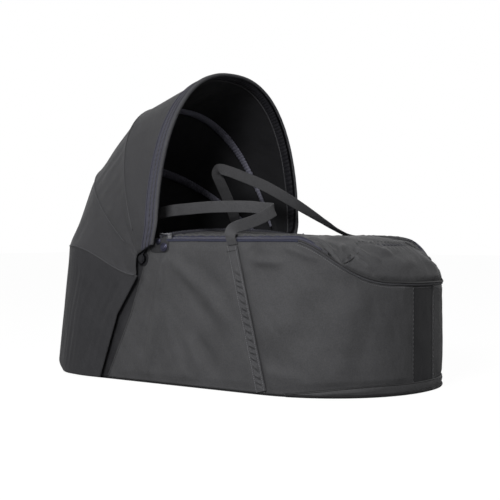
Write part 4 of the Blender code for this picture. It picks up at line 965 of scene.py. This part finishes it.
def cover_lift(place, climb):
    """How far the cover stands off its dome; its gathers and folds are calmer on the far side."""
    base = cover_surface(place, climb, 0.0)
    run, up = place * PLACE_LONG, climb * CLIMB_LONG
    pucker = wave(run, COVER_PUCKER, 4 * ripple(run, up, 61, 0.05))
    from_line = climb - gather_climb(place)
    calm = mix(0.35, 1.0, smooth((place - 2.5) / 0.5))
    lift = (0.0008 * pucker * bell(from_line, 0.09) + 0.0004 * pucker * bell(climb, 0.10)) * calm
    lift = lift - 0.0009 * bell(from_line, 0.040)
    lift += folds(np.abs(place - 3) * PLACE_LONG, up, COVER_FOLDS) * calm
    lift += 0.0022 * ripple(base[..., 0], base[..., 1], 62, 0.09) + COVER_OFF
    ends = np.minimum(place - COVER_FIRST, 6 - COVER_FIRST - place)
    return lift * smooth(climb * 10) * smooth((2.02 - climb) * 5) * smooth(ends * 10)


def build_cover():
    """Foot cover with its drawn elastic line, the stitches above it, and a tuck at each end."""
    place = np.linspace(COVER_FIRST, 6 - COVER_FIRST, 300)[:, None]
    climb = np.concatenate((np.linspace(0, 1, 60), np.linspace(1, 2, 30)[1:]))[None, :]
    piece = grid("cover_top", cover_surface(place, climb, cover_lift(place, climb)),
                 [COVER_CLOTH, LINING], CLOTH_THICK, flipped=True)
    wear(piece, "cot", "cover_cloth", "foot_cover")
    even = np.linspace(2.5, 3.5, 300)
    gather = gather_climb(even)
    out = cover_out(even, gather, 0.01)
    beat = wave(even * PLACE_LONG, CORD_PUCKER)
    seam("cover_gather", cover_surface(even, gather, 0.0006 + 0.0004 * beat), out, WIDE_WELT,
         ELASTIC, "elastic", squash=0.6, nodes=["cover_elastic"])
    stitches("gather_stitches", cover_surface(even, gather + 0.045, 0.0034), out, DARK_THREAD_AND_GROOVE_SHADE,
             "cover_cloth", pitch=0.0075, long=0.0040, thick=0.0005)
    for label, side in SIDES:
        build_tuck(label, side)


def build_tuck(label, side):
    """Rolled tuck at one end of the drawn line, with dark lines of painted shade along its seam and along a
    crease beside it.
    """
    share = np.linspace(0, 1, 90)
    arch = np.sin(math.pi * share) ** 0.5
    place = 3 - side * mix(0.735, 0.515, share)
    climb = mix(0.50, 0.03, share) + 0.07 * np.sin(math.pi * share * 1.6)
    beat = 1 + 0.06 * np.sin(share[:, None] * 34 + 2.2 * round_turn(16)[None]
                             + 3 * wander(share, 64, 0.3)[:, None])
    thin = np.sin(math.pi * np.clip(share, 0.03, 0.97))[:, None] ** 0.4
    piece = swept("cover_tuck_" + label, cover_surface(place, climb, 0.0030 * arch + 0.0008),
                  cover_out(place, climb), oval(0.0058, 0.0030, beat * thin, 16), COVER_CLOTH)
    wear(piece, "cot", "cover_cloth")
    for name, place0, climb0, place1, climb1 in (("seam", 0.535, 0.04, 0.365, 0.60),
                                                 ("crease", 0.690, 0.30, 0.560, 0.02)):
        place = 3 - side * mix(place0, place1, share)
        climb = mix(climb0, climb1, share)
        seam("cover_%s_%s" % (name, label), cover_surface(place, climb, 0.0040 * arch + 0.0006),
             cover_out(place, climb), CREASE, DARK_THREAD_AND_GROOVE_SHADE, "cover_cloth", sides=6)


def apron_surface(across, share, lift):
    """Apron: across -1..1 from right to left, share 0 at the foot cover, 1 at its head edge."""
    across, share, lift = np.broadcast_arrays(np.asarray(across, float), share, lift)
    side = np.where(across < 0, -1.0, 1.0)
    climb = (1 - np.abs(across)) * 2
    foot = cover_surface(COVER_FIRST, climb, 0.0)
    edge = cover_surface(COVER_FIRST, 0.0, 0.0)[1]
    foot_y = side * foot[..., 1]
    head_y = foot_y * (BODY_HALF_WIDTH - LID_EDGE) / edge
    x = mix(foot[..., 0] - CLEAR, APRON_HEAD_X, share)
    y = mix(foot_y, head_y, smooth(share * 2))
    bulge = 1 - (y / BODY_HALF_WIDTH) ** 2
    z = foot[..., 2] + APRON_PUFF * bulge * smooth(share) ** 2 + lift
    return np.stack((x, y, z), -1)


def build_apron():
    """Zipped apron with soft gathers, and the elastic along its head edge."""
    across = np.linspace(-1, 1, 240)[:, None]
    share = np.linspace(0, 1, 110)[None, :]
    base = apron_surface(across, share, 0.0)
    x, y = base[..., 0], base[..., 1]
    drawn = np.exp(-((x - APRON_HEAD_X) / 0.035))
    lift = 0.0018 * wave(y, APRON_PUCKER, 3 * wander(y, 71, 0.06)) * drawn
    lift += 0.0018 * ripple(x, y, 72, 0.11) + APRON_OFF
    lift = lift * smooth((1 - np.abs(across)) * 10) * smooth(share * 10)
    piece = grid("apron_cloth", apron_surface(across, share, lift), [COVER_CLOTH, LINING],
                 CLOTH_THICK, flipped=True)
    slide_with_apron(piece)
    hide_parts("apron")
    top = apron_surface(np.linspace(-0.98, 0.98, 420), 1.0, 0.0)
    swell = 1 + 0.16 * wave(top[:, 1], ELASTIC_PUCKER)[:, None]
    hem = swept("apron_gather", top + np.array((-0.0025, 0.0, 0.0040)), (0.0, 0.0, 1.0),
                oval(0.0022, 0.0042, swell, 12), ELASTIC)
    wear(hem, "apron_hem_body", "elastic", "apron_hem")


# hood
def skirt_edge(turn):
    return skirt(2 * turn / math.pi - 1, 1.0, 0.0)


def panel_lift(turn, share, far, seed, deep):
    """Sag and unevenness of a hood panel, fading out near the pivot."""
    sag = -deep * 4 * share * (1 - share) * np.sin(turn) ** 0.5
    soft = 0.0022 * ripple(turn * 0.30, share * 0.12, seed, 0.11)
    pull = 0.0010 * ripple(turn * 0.30, share * 0.02, seed + 1, 0.030)
    return (sag + (soft + pull) * fade_ends(share, 8)) * smooth(far / 0.08)


def fan_weights(piece, first, second, start, end, shares):
    """Bend a hood panel between two bodies by its place in the fan, so no seam tears open."""
    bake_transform(piece, first, second, start=start, end=end)
    weights = piece.data.attributes["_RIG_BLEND"].data
    weights.foreach_set("value", np.asarray(shares, np.float32))


def build_panel(name, low_edge, body, after, rows, seed, deep):
    """Panel ruled from its own arc to its low edge, and lifted off the straight rule."""
    columns = 260
    turn = np.linspace(ARC_START, math.pi - ARC_START, columns)
    share = np.linspace(0, 1, rows)
    high = arc(name, turn, 0.0)
    points = high[:, None] + (low_edge(turn) - high)[:, None] * share[None, :, None]
    lift = panel_lift(turn[:, None], share[None, :], np.linalg.norm(points - PIVOT, axis=-1),
                      seed, deep)
    points = points + pivot_ways(points) * lift[..., None]
    # the hood panels wear the nylon darkened as painted shade
    piece = grid("hood_cloth_" + name, points, [HOOD_CLOTH_PAINTED_SHADE, HOOD_LINING], HOOD_FABRIC, inner=1)
    crown = points[columns // 2]
    fan_weights(piece, body, after, crown[0].tolist(), crown[-1].tolist(), np.tile(share, columns))
    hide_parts("hood_%s_panel" % name)


def build_hood():
    build_panel("front", lambda turn: arc("middle", turn, 0.0), "front_hoop_body",
                "middle_hoop_body", 26, 80, 0.0010)
    build_panel("middle", lambda turn: arc("rear", turn, 0.0), "middle_hoop_body",
                "rear_hoop_body", 40, 81, 0.0014)
    build_panel("rear", skirt_edge, "rear_hoop_body", "cot", 44, 82, 0.0010)


def build_skirt():
    """Cloth hung from the hood's low edge, drawn up a little at the middle of the head end."""
    turn = np.linspace(-1, 1, 280)[:, None]
    level = np.linspace(0, 1, 80)[None, :]
    run = turn * 0.42 + 0 * level
    drape = (0.0016 * ripple(run, level * 0.05, 91, 0.055)
             + 0.0012 * ripple(run, level * 0.02, 92, 0.024))
    points = skirt(turn, level, drape * fade_ends(level, 6) * smooth((1 - np.abs(turn)) * 14))
    points[..., 2] += 0.010 * (1 - smooth((np.abs(turn) - 0.20) / 0.42)) * (1 - level) ** 4
    # the skirt's nylon is darkened as painted shade under the hood
    piece = grid("skirt_cloth", points, [SKIRT_CLOTH_PAINTED_SHADE, LINING], CLOTH_THICK, inner=1, flipped=True)
    wear(piece, "cot", "skirt_cloth", "hood_skirt")


def hem_strip(name, front, back, wide, share, lift, look, thick, flipped=False):
    """Strip that runs back from the front arc, lifted off the straight rule."""
    points = front[:, None] + back[:, None] * (wide * share)[None, :, None]
    return grid(name, points + pivot_ways(points) * lift[..., None], [look], thick,
                flipped=flipped)


def build_hem():
    """Gathered tape on the hood's front edge, its piping and seams with dark lines of painted shade in their
    grooves, and the facing inside.
    """
    turn = np.linspace(ARC_START, math.pi - ARC_START, 560)
    front = arc("front", turn, 0.0)
    back = unit(arc("middle", turn, 0.0) - front)
    run = turn * HOOP_LONG
    pucker = wave(run, HEM_PUCKER, 3 * wander(run, 95, 0.05))[:, None]
    share = np.linspace(0, 1, 12)
    lift = CLEAR + 0.0012 + (0.0008 + 0.0004 * pucker) * (np.sin(math.pi * share) ** 0.5)[None, :]
    piece = hem_strip("hem_tape", front, back, HEM_WIDTH, share, lift, TAPE, FABRIC * 0.7)
    wear(piece, "front_hoop_body", "binding_cloth", "hood_hem")
    line = arc("front", turn, -0.0012) - back * 0.0010
    beat = 1 + 0.06 * wander(run, 96, 0.012)[:, None]
    piping = swept("front_piping", line, arc("front", turn, 0.01) - line,
                   oval(0.0034, 0.0030, beat, 12), PIPING)
    wear(piping, "front_hoop_body", "binding_cloth")
    for name, deep, radius, look in (("hem_groove_front", 0.0046, CREASE, DARK_THREAD_AND_GROOVE_SHADE),
                                     ("hem_groove_middle", 0.0125, FINE_WELT, DARK_THREAD_AND_GROOVE_SHADE),
                                     ("hem_edge", HEM_WIDTH, WELT, TAPE)):
        hem_seam(name, front + back * deep, 0.0021, radius, look)
    share = np.linspace(0, 1, 14)
    lift = -0.0016 - (0.0036 + 0.0007 * pucker) * np.sin(math.pi * share[None] ** 0.8) ** 0.6
    inner = hem_strip("hem_facing", front, back, FACING_WIDTH, share, lift, FACING, FABRIC * 0.5,
                      flipped=True)
    wear(inner, "front_hoop_body", "binding_cloth")
    hem_seam("facing_piping", front + back * FACING_WIDTH, -0.0024, DEEP_GROOVE, PIPING)


def hem_seam(name, line, off, radius, look):
    """Seam along the hood's hem, set off its line away from the pivot."""
    ways = pivot_ways(line)
    seam(name, line + ways * off, ways, radius, look, "binding_cloth", "front_hoop_body")


def build_sleeves():
    """Gathered tapes inside the hood that hold the hoops."""
    turn = np.linspace(0.14, math.pi - 0.14, 520)
    run = turn * HOOP_LONG
    pucker = wave(run, HOOP_PUCKER, 3 * wander(run, 97, 0.05))
    ring = round_turn(14)
    for which, leg in (("middle", MIDDLE_LEG), ("rear", REAR_LEG)):
        line = hoop_line(which, turn, leg)
        out = arc(which, turn, 0.01) - arc(which, turn, 0.0)
        reach = np.hypot(line[:, 0] - PIVOT_X, line[:, 2] - PIVOT_Z)
        half = np.clip(0.034 * reach, 0.0020, 0.0082) * (1 + 0.10 * pucker)
        profile = np.stack((half[:, None] * np.cos(ring)[None],
                            0.0027 * np.sin(ring)[None] * (1 + 0.25 * pucker[:, None])
                            - 0.0016), -1)
        piece = swept("hoop_sleeve_" + which, line, out, profile, HOOP_TAPE)
        wear(piece, which + "_hoop_body", "binding_cloth")


# seams
def build_hood_seams():
    """Welts, and dark lines of painted shade in the grooves, along the middle and rear hoops and along the
    top of the skirt.
    """
    turn = np.linspace(0.11, math.pi - 0.11, 320)
    for which in ("middle", "rear"):
        line = arc(which, turn, 0.0003)
        out = arc(which, turn, 0.01) - line
        lean = math.radians(ARCS[which][0])
        aside = np.array((math.sin(lean), 0.0, -math.cos(lean)))
        hoop = which + "_hoop_body"
        seam("hood_welt_" + which, line, out, FINE_WELT, PIPING, "hood_cloth", hoop, squash=0.6)
        seam("hood_groove_" + which, line + aside * 0.0014 - out * 0.04, out, FINE_GROOVE,
             DARK_THREAD_AND_GROOVE_SHADE, "hood_cloth", hoop)
    turn = np.linspace(-0.985, 0.985, 300)
    line = skirt(turn, 1.0, 0.0004)
    out = skirt(turn, 1.0, 0.01) - line
    seam("skirt_welt", line, out, WELT, PIPING, "skirt_cloth", squash=0.6)
    seam("skirt_groove", line + np.array((0, 0, -0.0019)) - out * 0.05, out, GROOVE, DARK_THREAD_AND_GROOVE_SHADE,
         "skirt_cloth")


def build_side_seams(label, side):
    """Welt and a dark line of painted shade in the groove of a slanted seam, and the welt and stitches of a
    foot seam.
    """
    z = np.linspace(0.006, HEAD_SEAM_TOP[1], 90)
    line = np.stack((slanted(z), side * (BODY_HALF_WIDTH + 0.0004) + 0 * z, z), -1)
    out = (0.0, float(side), 0.0)
    seam("slanted_welt_" + label, line + np.array((0.0012, 0, 0)), out, WIDE_WELT, BODY_CLOTH,
         "body_cloth", squash=0.8)
    seam("slanted_groove_" + label, line - np.array((0.0008, 0, 0)), out, GROOVE, DARK_THREAD_AND_GROOVE_SHADE,
         "body_cloth")
    place = STRIP_PLACE * side
    x = float(outline_x(place))
    z = np.linspace(float(side_bottom(x)) + 0.002, float(fabric_top(x)) - 0.002, 60)
    line = outline(place, -0.0004, z)
    out = line - outline(place, 0.01, z)
    seam("foot_welt_" + label, line, out, FINE_WELT, BODY_CLOTH, "body_cloth", squash=0.5)
    stitches("foot_stitches_" + label, outline(place, -0.0012, z), out, DIM_THREAD, "body_cloth",
             pitch=0.0070, long=0.0036, thick=0.0006)


def build_cover_seams():
    """Piping, a dark line of painted shade in the groove, and stitches where the foot cover meets the walls.
    """
    first = foot_place(0.262)
    even = np.linspace(first, 6 - first, 360)
    z = rim_height(outline_x(even)) - SEAM_DROP
    out = outward(even, z)
    seam("cover_piping", outline(even, -0.0014, z - 0.0024), out, COVER_PIPING, PIPING,
         "body_cloth", squash=0.9)
    seam("cover_groove", outline(even, -0.0030, z + 0.0004), out, WIDE_WELT, DARK_THREAD_AND_GROOVE_SHADE,
         "body_cloth")
    stitches("cover_stitches", outline(even, -0.0016, z - 0.0075), out, THREAD, "body_cloth",
             thick=0.0003)


def build_seams():
    build_hood_seams()
    for label, side in SIDES:
        build_side_seams(label, side)
    build_cover_seams()


# zips
def build_coil(label, side, places):
    """Coil of one zip, with a bead for each tooth."""
    teeth = np.linspace(places[0], places[-1], 1500)
    x = outline_x(teeth)
    beat = 1 + 0.16 * wave(x, ZIP_TOOTH)[:, None]
    coil = swept("zip_coil_" + label, outline(side * teeth, ZIP_MIDDLE_INSET, rim_height(x)),
                 outward(side * teeth, 0.2), oval(0.0021, 0.0013, beat, 8), COIL)
    wear(coil, "cot", "zip_coil", "zip_chain_" + label)


def build_zip_tapes(label, side, places):
    """Tape of the zip below its coil and above it, and the line woven into the lower one."""
    x = outline_x(places)
    rim, run = rim_height(x), x - ZIP_START_X
    sway = 0.0006 * wander(run, 101, 0.07)
    rows = np.linspace(0, 1, 9)[None, :]
    z = rim[:, None] - 0.0012 - 0.0036 * rows + sway[:, None]
    bump = (0.0008 + 0.0003 * np.sin(math.pi * rows)
            + 0.0002 * wander(run, 103, 0.03)[:, None])
    low = grid("zip_tape_low_" + label, outline(side * places[:, None], -bump, z), [ZIP_TAPE],
               TAPE_THICK, flipped=side > 0)
    wear(low, "cot", "zip_coil")
    z = rim[:, None] + 0.0016 + 0.0024 * rows + sway[:, None]
    inset = 0.0056 + 0.0018 * rows + 0.0003 * wander(run, 104, 0.025)[:, None]
    high = grid("zip_tape_high_" + label, outline(side * places[:, None], inset, z), [ZIP_TAPE],
                TAPE_THICK, flipped=side < 0)
    slide_with_apron(high)
    seam("zip_line_" + label, outline(side * places, -0.0011, rim - 0.0032 + sway),
         outward(side * places, rim), ZIP_LINE_RADIUS, ZIP_LINE, "zip_coil", sides=6)


def build_ruffle(label, side, places):
    """Gathered edge of the apron beside a zip; the far one is lower and calmer."""
    x = outline_x(places)
    rim, run = rim_height(x), x - ZIP_START_X
    deep, rise = (0.30, 0.0040) if side < 0 else (0.08, 0.0020)
    rolls = wave(run[:, None], RUFFLE_PUCKER,
                 2.0 * round_turn(14)[None] + 5 * wander(run, 106, 0.04)[:, None])
    fade = smooth(run / 0.02)[:, None] * smooth((run[-1] - run - 0.03) / 0.03)[:, None]
    beat = (1 + deep * rolls) * (0.25 + 0.75 * fade)
    line = outline(side * places, 0.0095, rim + rise + 0.0010 * wander(run, 107, 0.05))
    ruffle = swept("apron_ruffle_" + label, line, outward(side * places, rim),
                   oval(0.0032, 0.0030, beat, 14), COVER_CLOTH)
    slide_with_apron(ruffle)


def build_zip_end(label, side):
    """Cloth patch over the foot end of a zip."""
    end = foot_place(ZIP_END_X + 0.004)
    patch = np.linspace(end - 0.012, end + 0.022, 16)
    z = rim_height(outline_x(patch))[:, None] + np.linspace(-0.005, 0.004, 10)[None, :]
    swell = 0.0022 + 0.0010 * np.sin(np.linspace(0, math.pi, 16))[:, None]
    piece = grid("zip_end_" + label, outline(side * patch[:, None], -swell, z), [PIPING], 0.0012,
                 flipped=side > 0)
    wear(piece, "cot", "zip_coil")


def build_zips():
    places = np.linspace(straight_place(ZIP_START_X), foot_place(ZIP_END_X), 300)
    for label, side in SIDES:
        build_coil(label, side, places)
        build_zip_tapes(label, side, places)
        build_ruffle(label, side, places)
        build_zip_end(label, side)


# webbing and tabs
def ribbon(name, path, ways, look, thick, relief=None):
    """Webbing along a path, its width along the given ways, with thicker edges."""
    along = frames(path, (0.3, 0.5, 0.8))[0]
    across = unit(ways - along * np.sum(ways * along, 1, keepdims=True))
    share = np.linspace(-1, 1, 25)
    half = thick / 2 * (1 + 0.25 * bell(np.abs(share) - 0.93, 0.05))
    half *= np.sqrt(np.clip(1 - np.abs(share) ** 24, 0.02, 1))
    run = run_of(path)
    wide = share[None, :] * WEB_WIDE / 2
    extra = relief(run[:, None], wide) if relief else 0.0
    rise = half[None, :] + extra + 0 * run[:, None]
    top = np.stack(np.broadcast_arrays(wide, rise), -1)
    low = np.stack(np.broadcast_arrays(wide[:, ::-1], -half[None, ::-1] + 0 * run[:, None]), -1)
    profile = np.concatenate((top, low), 1)
    points = around(path, across, np.cross(along, across), profile)
    caps = (points[:1] * 0 + points[:1].mean(1, keepdims=True),
            points[-1:] * 0 + points[-1:].mean(1, keepdims=True))
    points = np.concatenate((caps[0], points, caps[1]))
    points = np.concatenate((points, points[:, :1]), 1)
    runs = np.concatenate(([0.0], run, run[-1:]))
    wides = np.concatenate((profile[0, :, 0], profile[0, :1, 0]))
    uv = np.stack(np.broadcast_arrays(runs[:, None], wides[None, :]), -1)
    return grid(name, points, [look], uv=uv)


def channel(run, across):
    """Puckered cord channel between the stitched borders of a sewn strap."""
    inside = np.clip(1 - (np.abs(across) / 0.0058) ** 4, 0, 1)
    slant = wave(run - across * 0.8, STRAP_PUCKER, 2.4 * wander(run, 111, 0.04))
    groove = bell(np.abs(across) - 0.0062, 0.0008)
    border = 0.0007 * smooth((np.abs(across) - 0.0064) / 0.0012)
    ends = smooth(run / 0.02) * smooth((0.205 - run) / 0.02)
    return (inside * (0.0014 + 0.0026 * np.abs(slant) ** 1.5 * np.sign(slant)) - 0.0012 * groove
            + border) * ends


def build_strap(end, low_x, top, label, side):
    """Webbing sewn down a side, with a row of stitches along each edge."""
    y = side * STRAP_OUT
    out = (0.0, float(side), 0.0)
    path = mix(np.array((low_x, y, STRAP_LOW_Z)), np.array((top[0], y, top[1] - STRAP_TOP_DROP)),
               np.linspace(0, 1, 320)[:, None])
    ways = np.broadcast_to((float(side), 0.0, 0.0), path.shape)
    piece = ribbon("sewn_strap_%s_%s" % (end, label), path, ways, WEBBING, 0.0022, channel)
    wear(piece, "cot", "webbing", "strap_%s_%s" % (end, label))
    for number, across in enumerate((-0.0080, 0.0080)):
        stitches("strap_stitches_%s_%s_%d" % (end, label, number),
                 path + np.array((across, side * 0.0019, 0.0)), out, THREAD, "webbing")


def build_straps():
    for label, side in SIDES:
        build_strap("front", STRAP_FRONT_LOW_X, FRONT_ANCHOR, label, side)
        middle = np.array((FRONT_ANCHOR[0] - 0.001, side * (STRAP_OUT + 0.0012), 0.2262))
        line = middle + np.linspace(-1, 1, 12)[:, None] * np.array((0.0088, 0.0, 0.0012))
        seam("box_stitch_" + label, line, (0.0, float(side), 0.0), FINE_GROOVE, DARK_THREAD_AND_GROOVE_SHADE,
             "webbing", sides=6)
        build_strap("rear", STRAP_REAR_LOW_X, REAR_ANCHOR, label, side)


# handle loops as (share of the span, inward, rise, way of the width)
RIGHT_ROUTE = (
    (1.000, 0.000, 0.000, (0.994, 0.0, 0.105)), (0.996, -0.015, 0.039, (0.99, 0.0, 0.05)),
    (0.994, -0.013, 0.065, (0.92, 0.2, -0.25)), (0.994, 0.011, 0.089, (0.68, 0.45, -0.50)),
    (0.999, 0.062, 0.104, (0.36, 0.26, -0.88)), (1.011, 0.141, 0.123, (0.34, 0.26, -0.90)),
    (1.031, 0.223, 0.149, (0.46, 0.33, -0.82)), (1.046, 0.290, 0.180, (0.38, 0.3, -0.86)),
    (1.040, 0.318, 0.194, (0.20, 0.1, -1.0)), (1.010, 0.322, 0.202, (0.0, 0.0, -1.0)),
    (0.960, 0.312, 0.211, (0.0, 0.0, -1.0)), (0.873, 0.286, 0.229, (0.0, 0.0, -1.0)),
    (0.685, 0.247, 0.251, (0.0, 0.0, -1.0)), (0.514, 0.209, 0.260, (0.0, 0.0, -1.0)),
    (0.308, 0.168, 0.258, (0.1, 0.0, -1.0)), (0.154, 0.124, 0.199, (0.6, 0.0, -0.75)),
    (0.051, 0.083, 0.107, (0.9, 0.0, -0.4)), (0.010, 0.047, 0.034, (1.0, 0.0, -0.1)),
    (0.002, 0.019, 0.018, (1.0, 0.0, 0.05)), (0.0, 0.0, 0.0, (0.994, 0.0, 0.105)))
LEFT_ROUTE = (
    (1.000, 0.000, 0.000, (-0.994, 0.0, -0.105)), (0.990, -0.014, 0.020, (-0.97, 0.0, -0.20)),
    (0.965, -0.014, 0.034, (-0.92, 0.3, -0.15)), (0.925, -0.004, 0.048, (-0.75, 0.6, -0.20)),
    (0.880, 0.028, 0.070, (-0.64, 0.74, -0.22)), (0.830, 0.080, 0.112, (-0.62, 0.72, -0.30)),
    (0.779, 0.138, 0.166, (-0.60, 0.62, -0.50)), (0.640, 0.261, 0.298, (-0.46, 0.15, -0.87)),
    (0.498, 0.363, 0.414, (-0.36, -0.25, -0.90)), (0.380, 0.444, 0.489, (-0.34, -0.28, -0.90)),
    (0.295, 0.507, 0.538, (-0.34, -0.28, -0.90)), (0.247, 0.535, 0.554, (-0.20, 0.1, -0.95)),
    (0.222, 0.524, 0.528, (0.30, 0.60, -0.40)), (0.218, 0.490, 0.478, (0.55, 0.55, 0.10)),
    (0.208, 0.398, 0.366, (0.60, 0.48, 0.28)), (0.174, 0.295, 0.267, (0.66, 0.45, 0.28)),
    (0.124, 0.192, 0.181, (0.80, 0.35, 0.15)), (0.080, 0.107, 0.111, (0.92, 0.25, 0.1)),
    (0.030, 0.062, 0.045, (1.0, 0.0, 0.0)), (0.007, 0.030, 0.018, (1.0, 0.0, 0.05)),
    (0.000, 0.000, 0.000, (0.994, 0.0, 0.105)))


def route(rows, side, steps=14):
    """Smooth path and width ways through the points of a handle route."""
    span = FRONT_ANCHOR[0] - REAR_ANCHOR[0]
    along, inward, rise = (np.array([row[number] for row in rows]) for number in range(3))
    ways = np.array([row[3] for row in rows], float)
    points = np.stack((REAR_ANCHOR[0] + span * along,
                       side * (BODY_HALF_WIDTH + ANCHOR_OUT - span * inward),
                       mix(REAR_ANCHOR[1], FRONT_ANCHOR[1], along) + span * rise), -1)
    path, turned = [], []
    for index in range(len(points) - 1):
        before, here = points[max(index - 1, 0)], points[index]
        there, after = points[index + 1], points[min(index + 2, len(points) - 1)]
        for step in range(steps):
            share = step / steps
            path.append((here * 2 + (there - before) * share
                         + (before * 2 - here * 5 + there * 4 - after) * share ** 2
                         + (here * 3 - before - there * 3 + after) * share ** 3) / 2)
            turned.append(mix(ways[index], ways[index + 1], share))
    return np.array(path + [points[-1]]), np.array(turned + [ways[-1]])


def build_handles():
    """Two webbing loops that bend over the 40 mm above their sewn ends."""
    for (label, side), rows in zip(SIDES, (RIGHT_ROUTE, LEFT_ROUTE)):
        path, ways = route(rows, side)
        piece = ribbon("handle_web_" + label, path, ways, WEBBING, 0.0016)
        y = side * BODY_HALF_WIDTH
        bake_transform(piece, "cot", "handle_%s_body" % label, start=(0.0, y, 0.243),
                 end=(0.0, y, 0.283))
        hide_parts("handle_" + label)


def build_tabs():
    """Rounded snap tabs, each with a shallow groove near its edge."""
    turn = round_turn(72)
    round_x, round_z = rounded(np.cos(turn), 4)[:, None], rounded(np.sin(turn), 4)[:, None]
    shares = np.array((0.0, 0.55, 0.80, 0.88, 0.97, 1.0, 1.0))[None, :]
    outs = np.array((0.0018, 0.0018, 0.0017, 0.0012, 0.0015, 0.0009, 0.0))[None, :]
    for label, side in SIDES:
        low, high = (np.array(corner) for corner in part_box("hood_tab_" + label))
        middle, half = (low + high) / 2, (high - low) / 2
        x = middle[0] + half[0] * round_x * shares
        z = middle[2] + half[2] * round_z * shares
        y = side * (BODY_HALF_WIDTH + CLEAR + outs + 0 * x)
        # the snap tabs wear the skirt's nylon, darkened as painted shade
        piece = grid("tab_cloth_" + label, np.stack((x, y, z), -1), [SKIRT_CLOTH_PAINTED_SHADE], ring=True,
                     flipped=side > 0)
        wear(piece, "cot", "tab_cloth", "hood_tab_" + label)


# hard parts
def dress_nodes():
    """Looks of the solids that stay: each goes by a word in the node's name."""
    plastic = look_of("moulded_plastic", (0.015, 0.015, 0.017), 0.8, specular=0.15)
    looks = {"hoop": metal_look("coated_steel", (0.030, 0.030, 0.034), 0.45),
             "rivet": plastic,
             "slider": metal_look("slider_metal", (0.16, 0.16, 0.17), 0.30),
             "pull": metal_look("nickel", (0.48, 0.48, 0.50), 0.28),
             "snap": metal_look("gunmetal", (0.040, 0.040, 0.060), 0.42),
             "mount": plastic,
             "board": look_of("pressed_board", (0.10, 0.085, 0.07), 0.8)}
    for name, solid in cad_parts.items():
        for word, look in looks.items():
            if word in name:
                solid.data.materials.clear()
                solid.data.materials.append(look)


# light, backdrop and floor; a lamp is name, place, size, power
LAMP_AIM = (0.0, 0.0, 0.20)
LAMPS = (("key", (0.95, -2.1, 1.30), 0.6, 45.0),
         ("left", (-1.7, -2.4, 1.2), 0.8, 16.0),
         ("top", (0.1, 0.2, 2.6), 1.2, 1.0))
WORLD_LIGHT = 0.14
FLOOR_HALF, FLOOR_Z = 12.0, -0.0006
FLOOR_GLOW, FLOOR_GLOW_SHARE = 1.13, 0.86


def build_lamps():
    for name, place, size, power in LAMPS:
        data = bpy.data.lights.new(name, "AREA")
        data.shape = "SQUARE"
        data.size = size
        data.energy = power
        lamp = bpy.data.objects.new(name, data)
        bpy.context.collection.objects.link(lamp)
        lamp.location = place
        way = Vector(LAMP_AIM) - Vector(place)
        lamp.rotation_euler = way.to_track_quat("-Z", "Y").to_euler()


def build_backdrop():
    """World that is white to the camera and in reflections, and lights the cloth a little."""
    world = bpy.data.worlds.new("world")
    bpy.context.scene.world = world
    world.use_nodes = True
    tree = world.node_tree
    back = tree.nodes["Background"]
    ray = node(tree, "ShaderNodeLightPath")
    seen = node(tree, "ShaderNodeMath", {0: (ray, "Is Camera Ray"), 1: (ray, "Is Glossy Ray")},
                operation="MAXIMUM")
    also = node(tree, "ShaderNodeMath", {0: (seen, "Value"), 1: (ray, "Is Transmission Ray")},
                operation="MAXIMUM")
    level = node(tree, "ShaderNodeMapRange", {"Value": (also, "Value")}, To_Min=WORLD_LIGHT,
                 To_Max=1.0)
    back.inputs["Color"].default_value = (1.0, 1.0, 1.0, 1.0)
    tree.links.new(level.outputs["Result"], back.inputs["Strength"])


def build_floor():
    """Pale floor that blends into the white backdrop and keeps a soft shadow."""
    mesh = bpy.data.meshes.new("floor")
    corners = ((-1, -1), (1, -1), (1, 1), (-1, 1))
    mesh.from_pydata([(FLOOR_HALF * x, FLOOR_HALF * y, FLOOR_Z) for x, y in corners], [],
                     [(0, 1, 2, 3)])
    made = look_of("floor_white", (0.50, 0.50, 0.50), 0.9, specular=0.0)
    tree = made.node_tree
    glow = node(tree, "ShaderNodeEmission", Strength=FLOOR_GLOW)
    ray = node(tree, "ShaderNodeLightPath")
    share = node(tree, "ShaderNodeMath", {0: (ray, "Is Camera Ray")}, operation="MULTIPLY")
    share.inputs[1].default_value = FLOOR_GLOW_SHARE
    both = node(tree, "ShaderNodeMixShader",
                {"Fac": (share, "Value"), 1: (tree.nodes["Principled BSDF"], "BSDF"),
                 2: (glow, "Emission")})
    tree.links.new(both.outputs["Shader"], tree.nodes["Material Output"].inputs["Surface"])
    mesh.materials.append(made)
    floor = bpy.data.objects.new("floor", mesh)
    bpy.context.collection.objects.link(floor)


build_walls()
build_head_wall()
build_foot_wall()
build_sole()
build_sleeve()
build_foam()
build_lining()
build_mattress()
build_cover()
build_apron()
build_hood()
build_skirt()
build_hem()
build_sleeves()
build_seams()
build_zips()
build_straps()
build_handles()
build_tabs()
dress_nodes()
build_lamps()
build_backdrop()
build_floor()


# camera at the photograph's place, in its 500 x 500 frame
FRAME_PIXELS = 500
FOCAL_PIXELS = 1156.04
CAMERA_PLACE = (1.3165, -1.6156, 0.2501)
CAMERA_AZIMUTH, CAMERA_TILT = 38.655, 0.696
lens = bpy.data.cameras.new("camera")
lens.sensor_width = 36.0
lens.lens = FOCAL_PIXELS / FRAME_PIXELS * lens.sensor_width
lens.clip_end = 50.0
camera = bpy.data.objects.new("camera", lens)
bpy.context.collection.objects.link(camera)
camera.location = CAMERA_PLACE
camera.rotation_euler = (math.radians(90 - CAMERA_TILT), 0.0, math.radians(CAMERA_AZIMUTH))
bpy.context.scene.camera = camera
bpy.context.scene.view_settings.view_transform = "Standard"
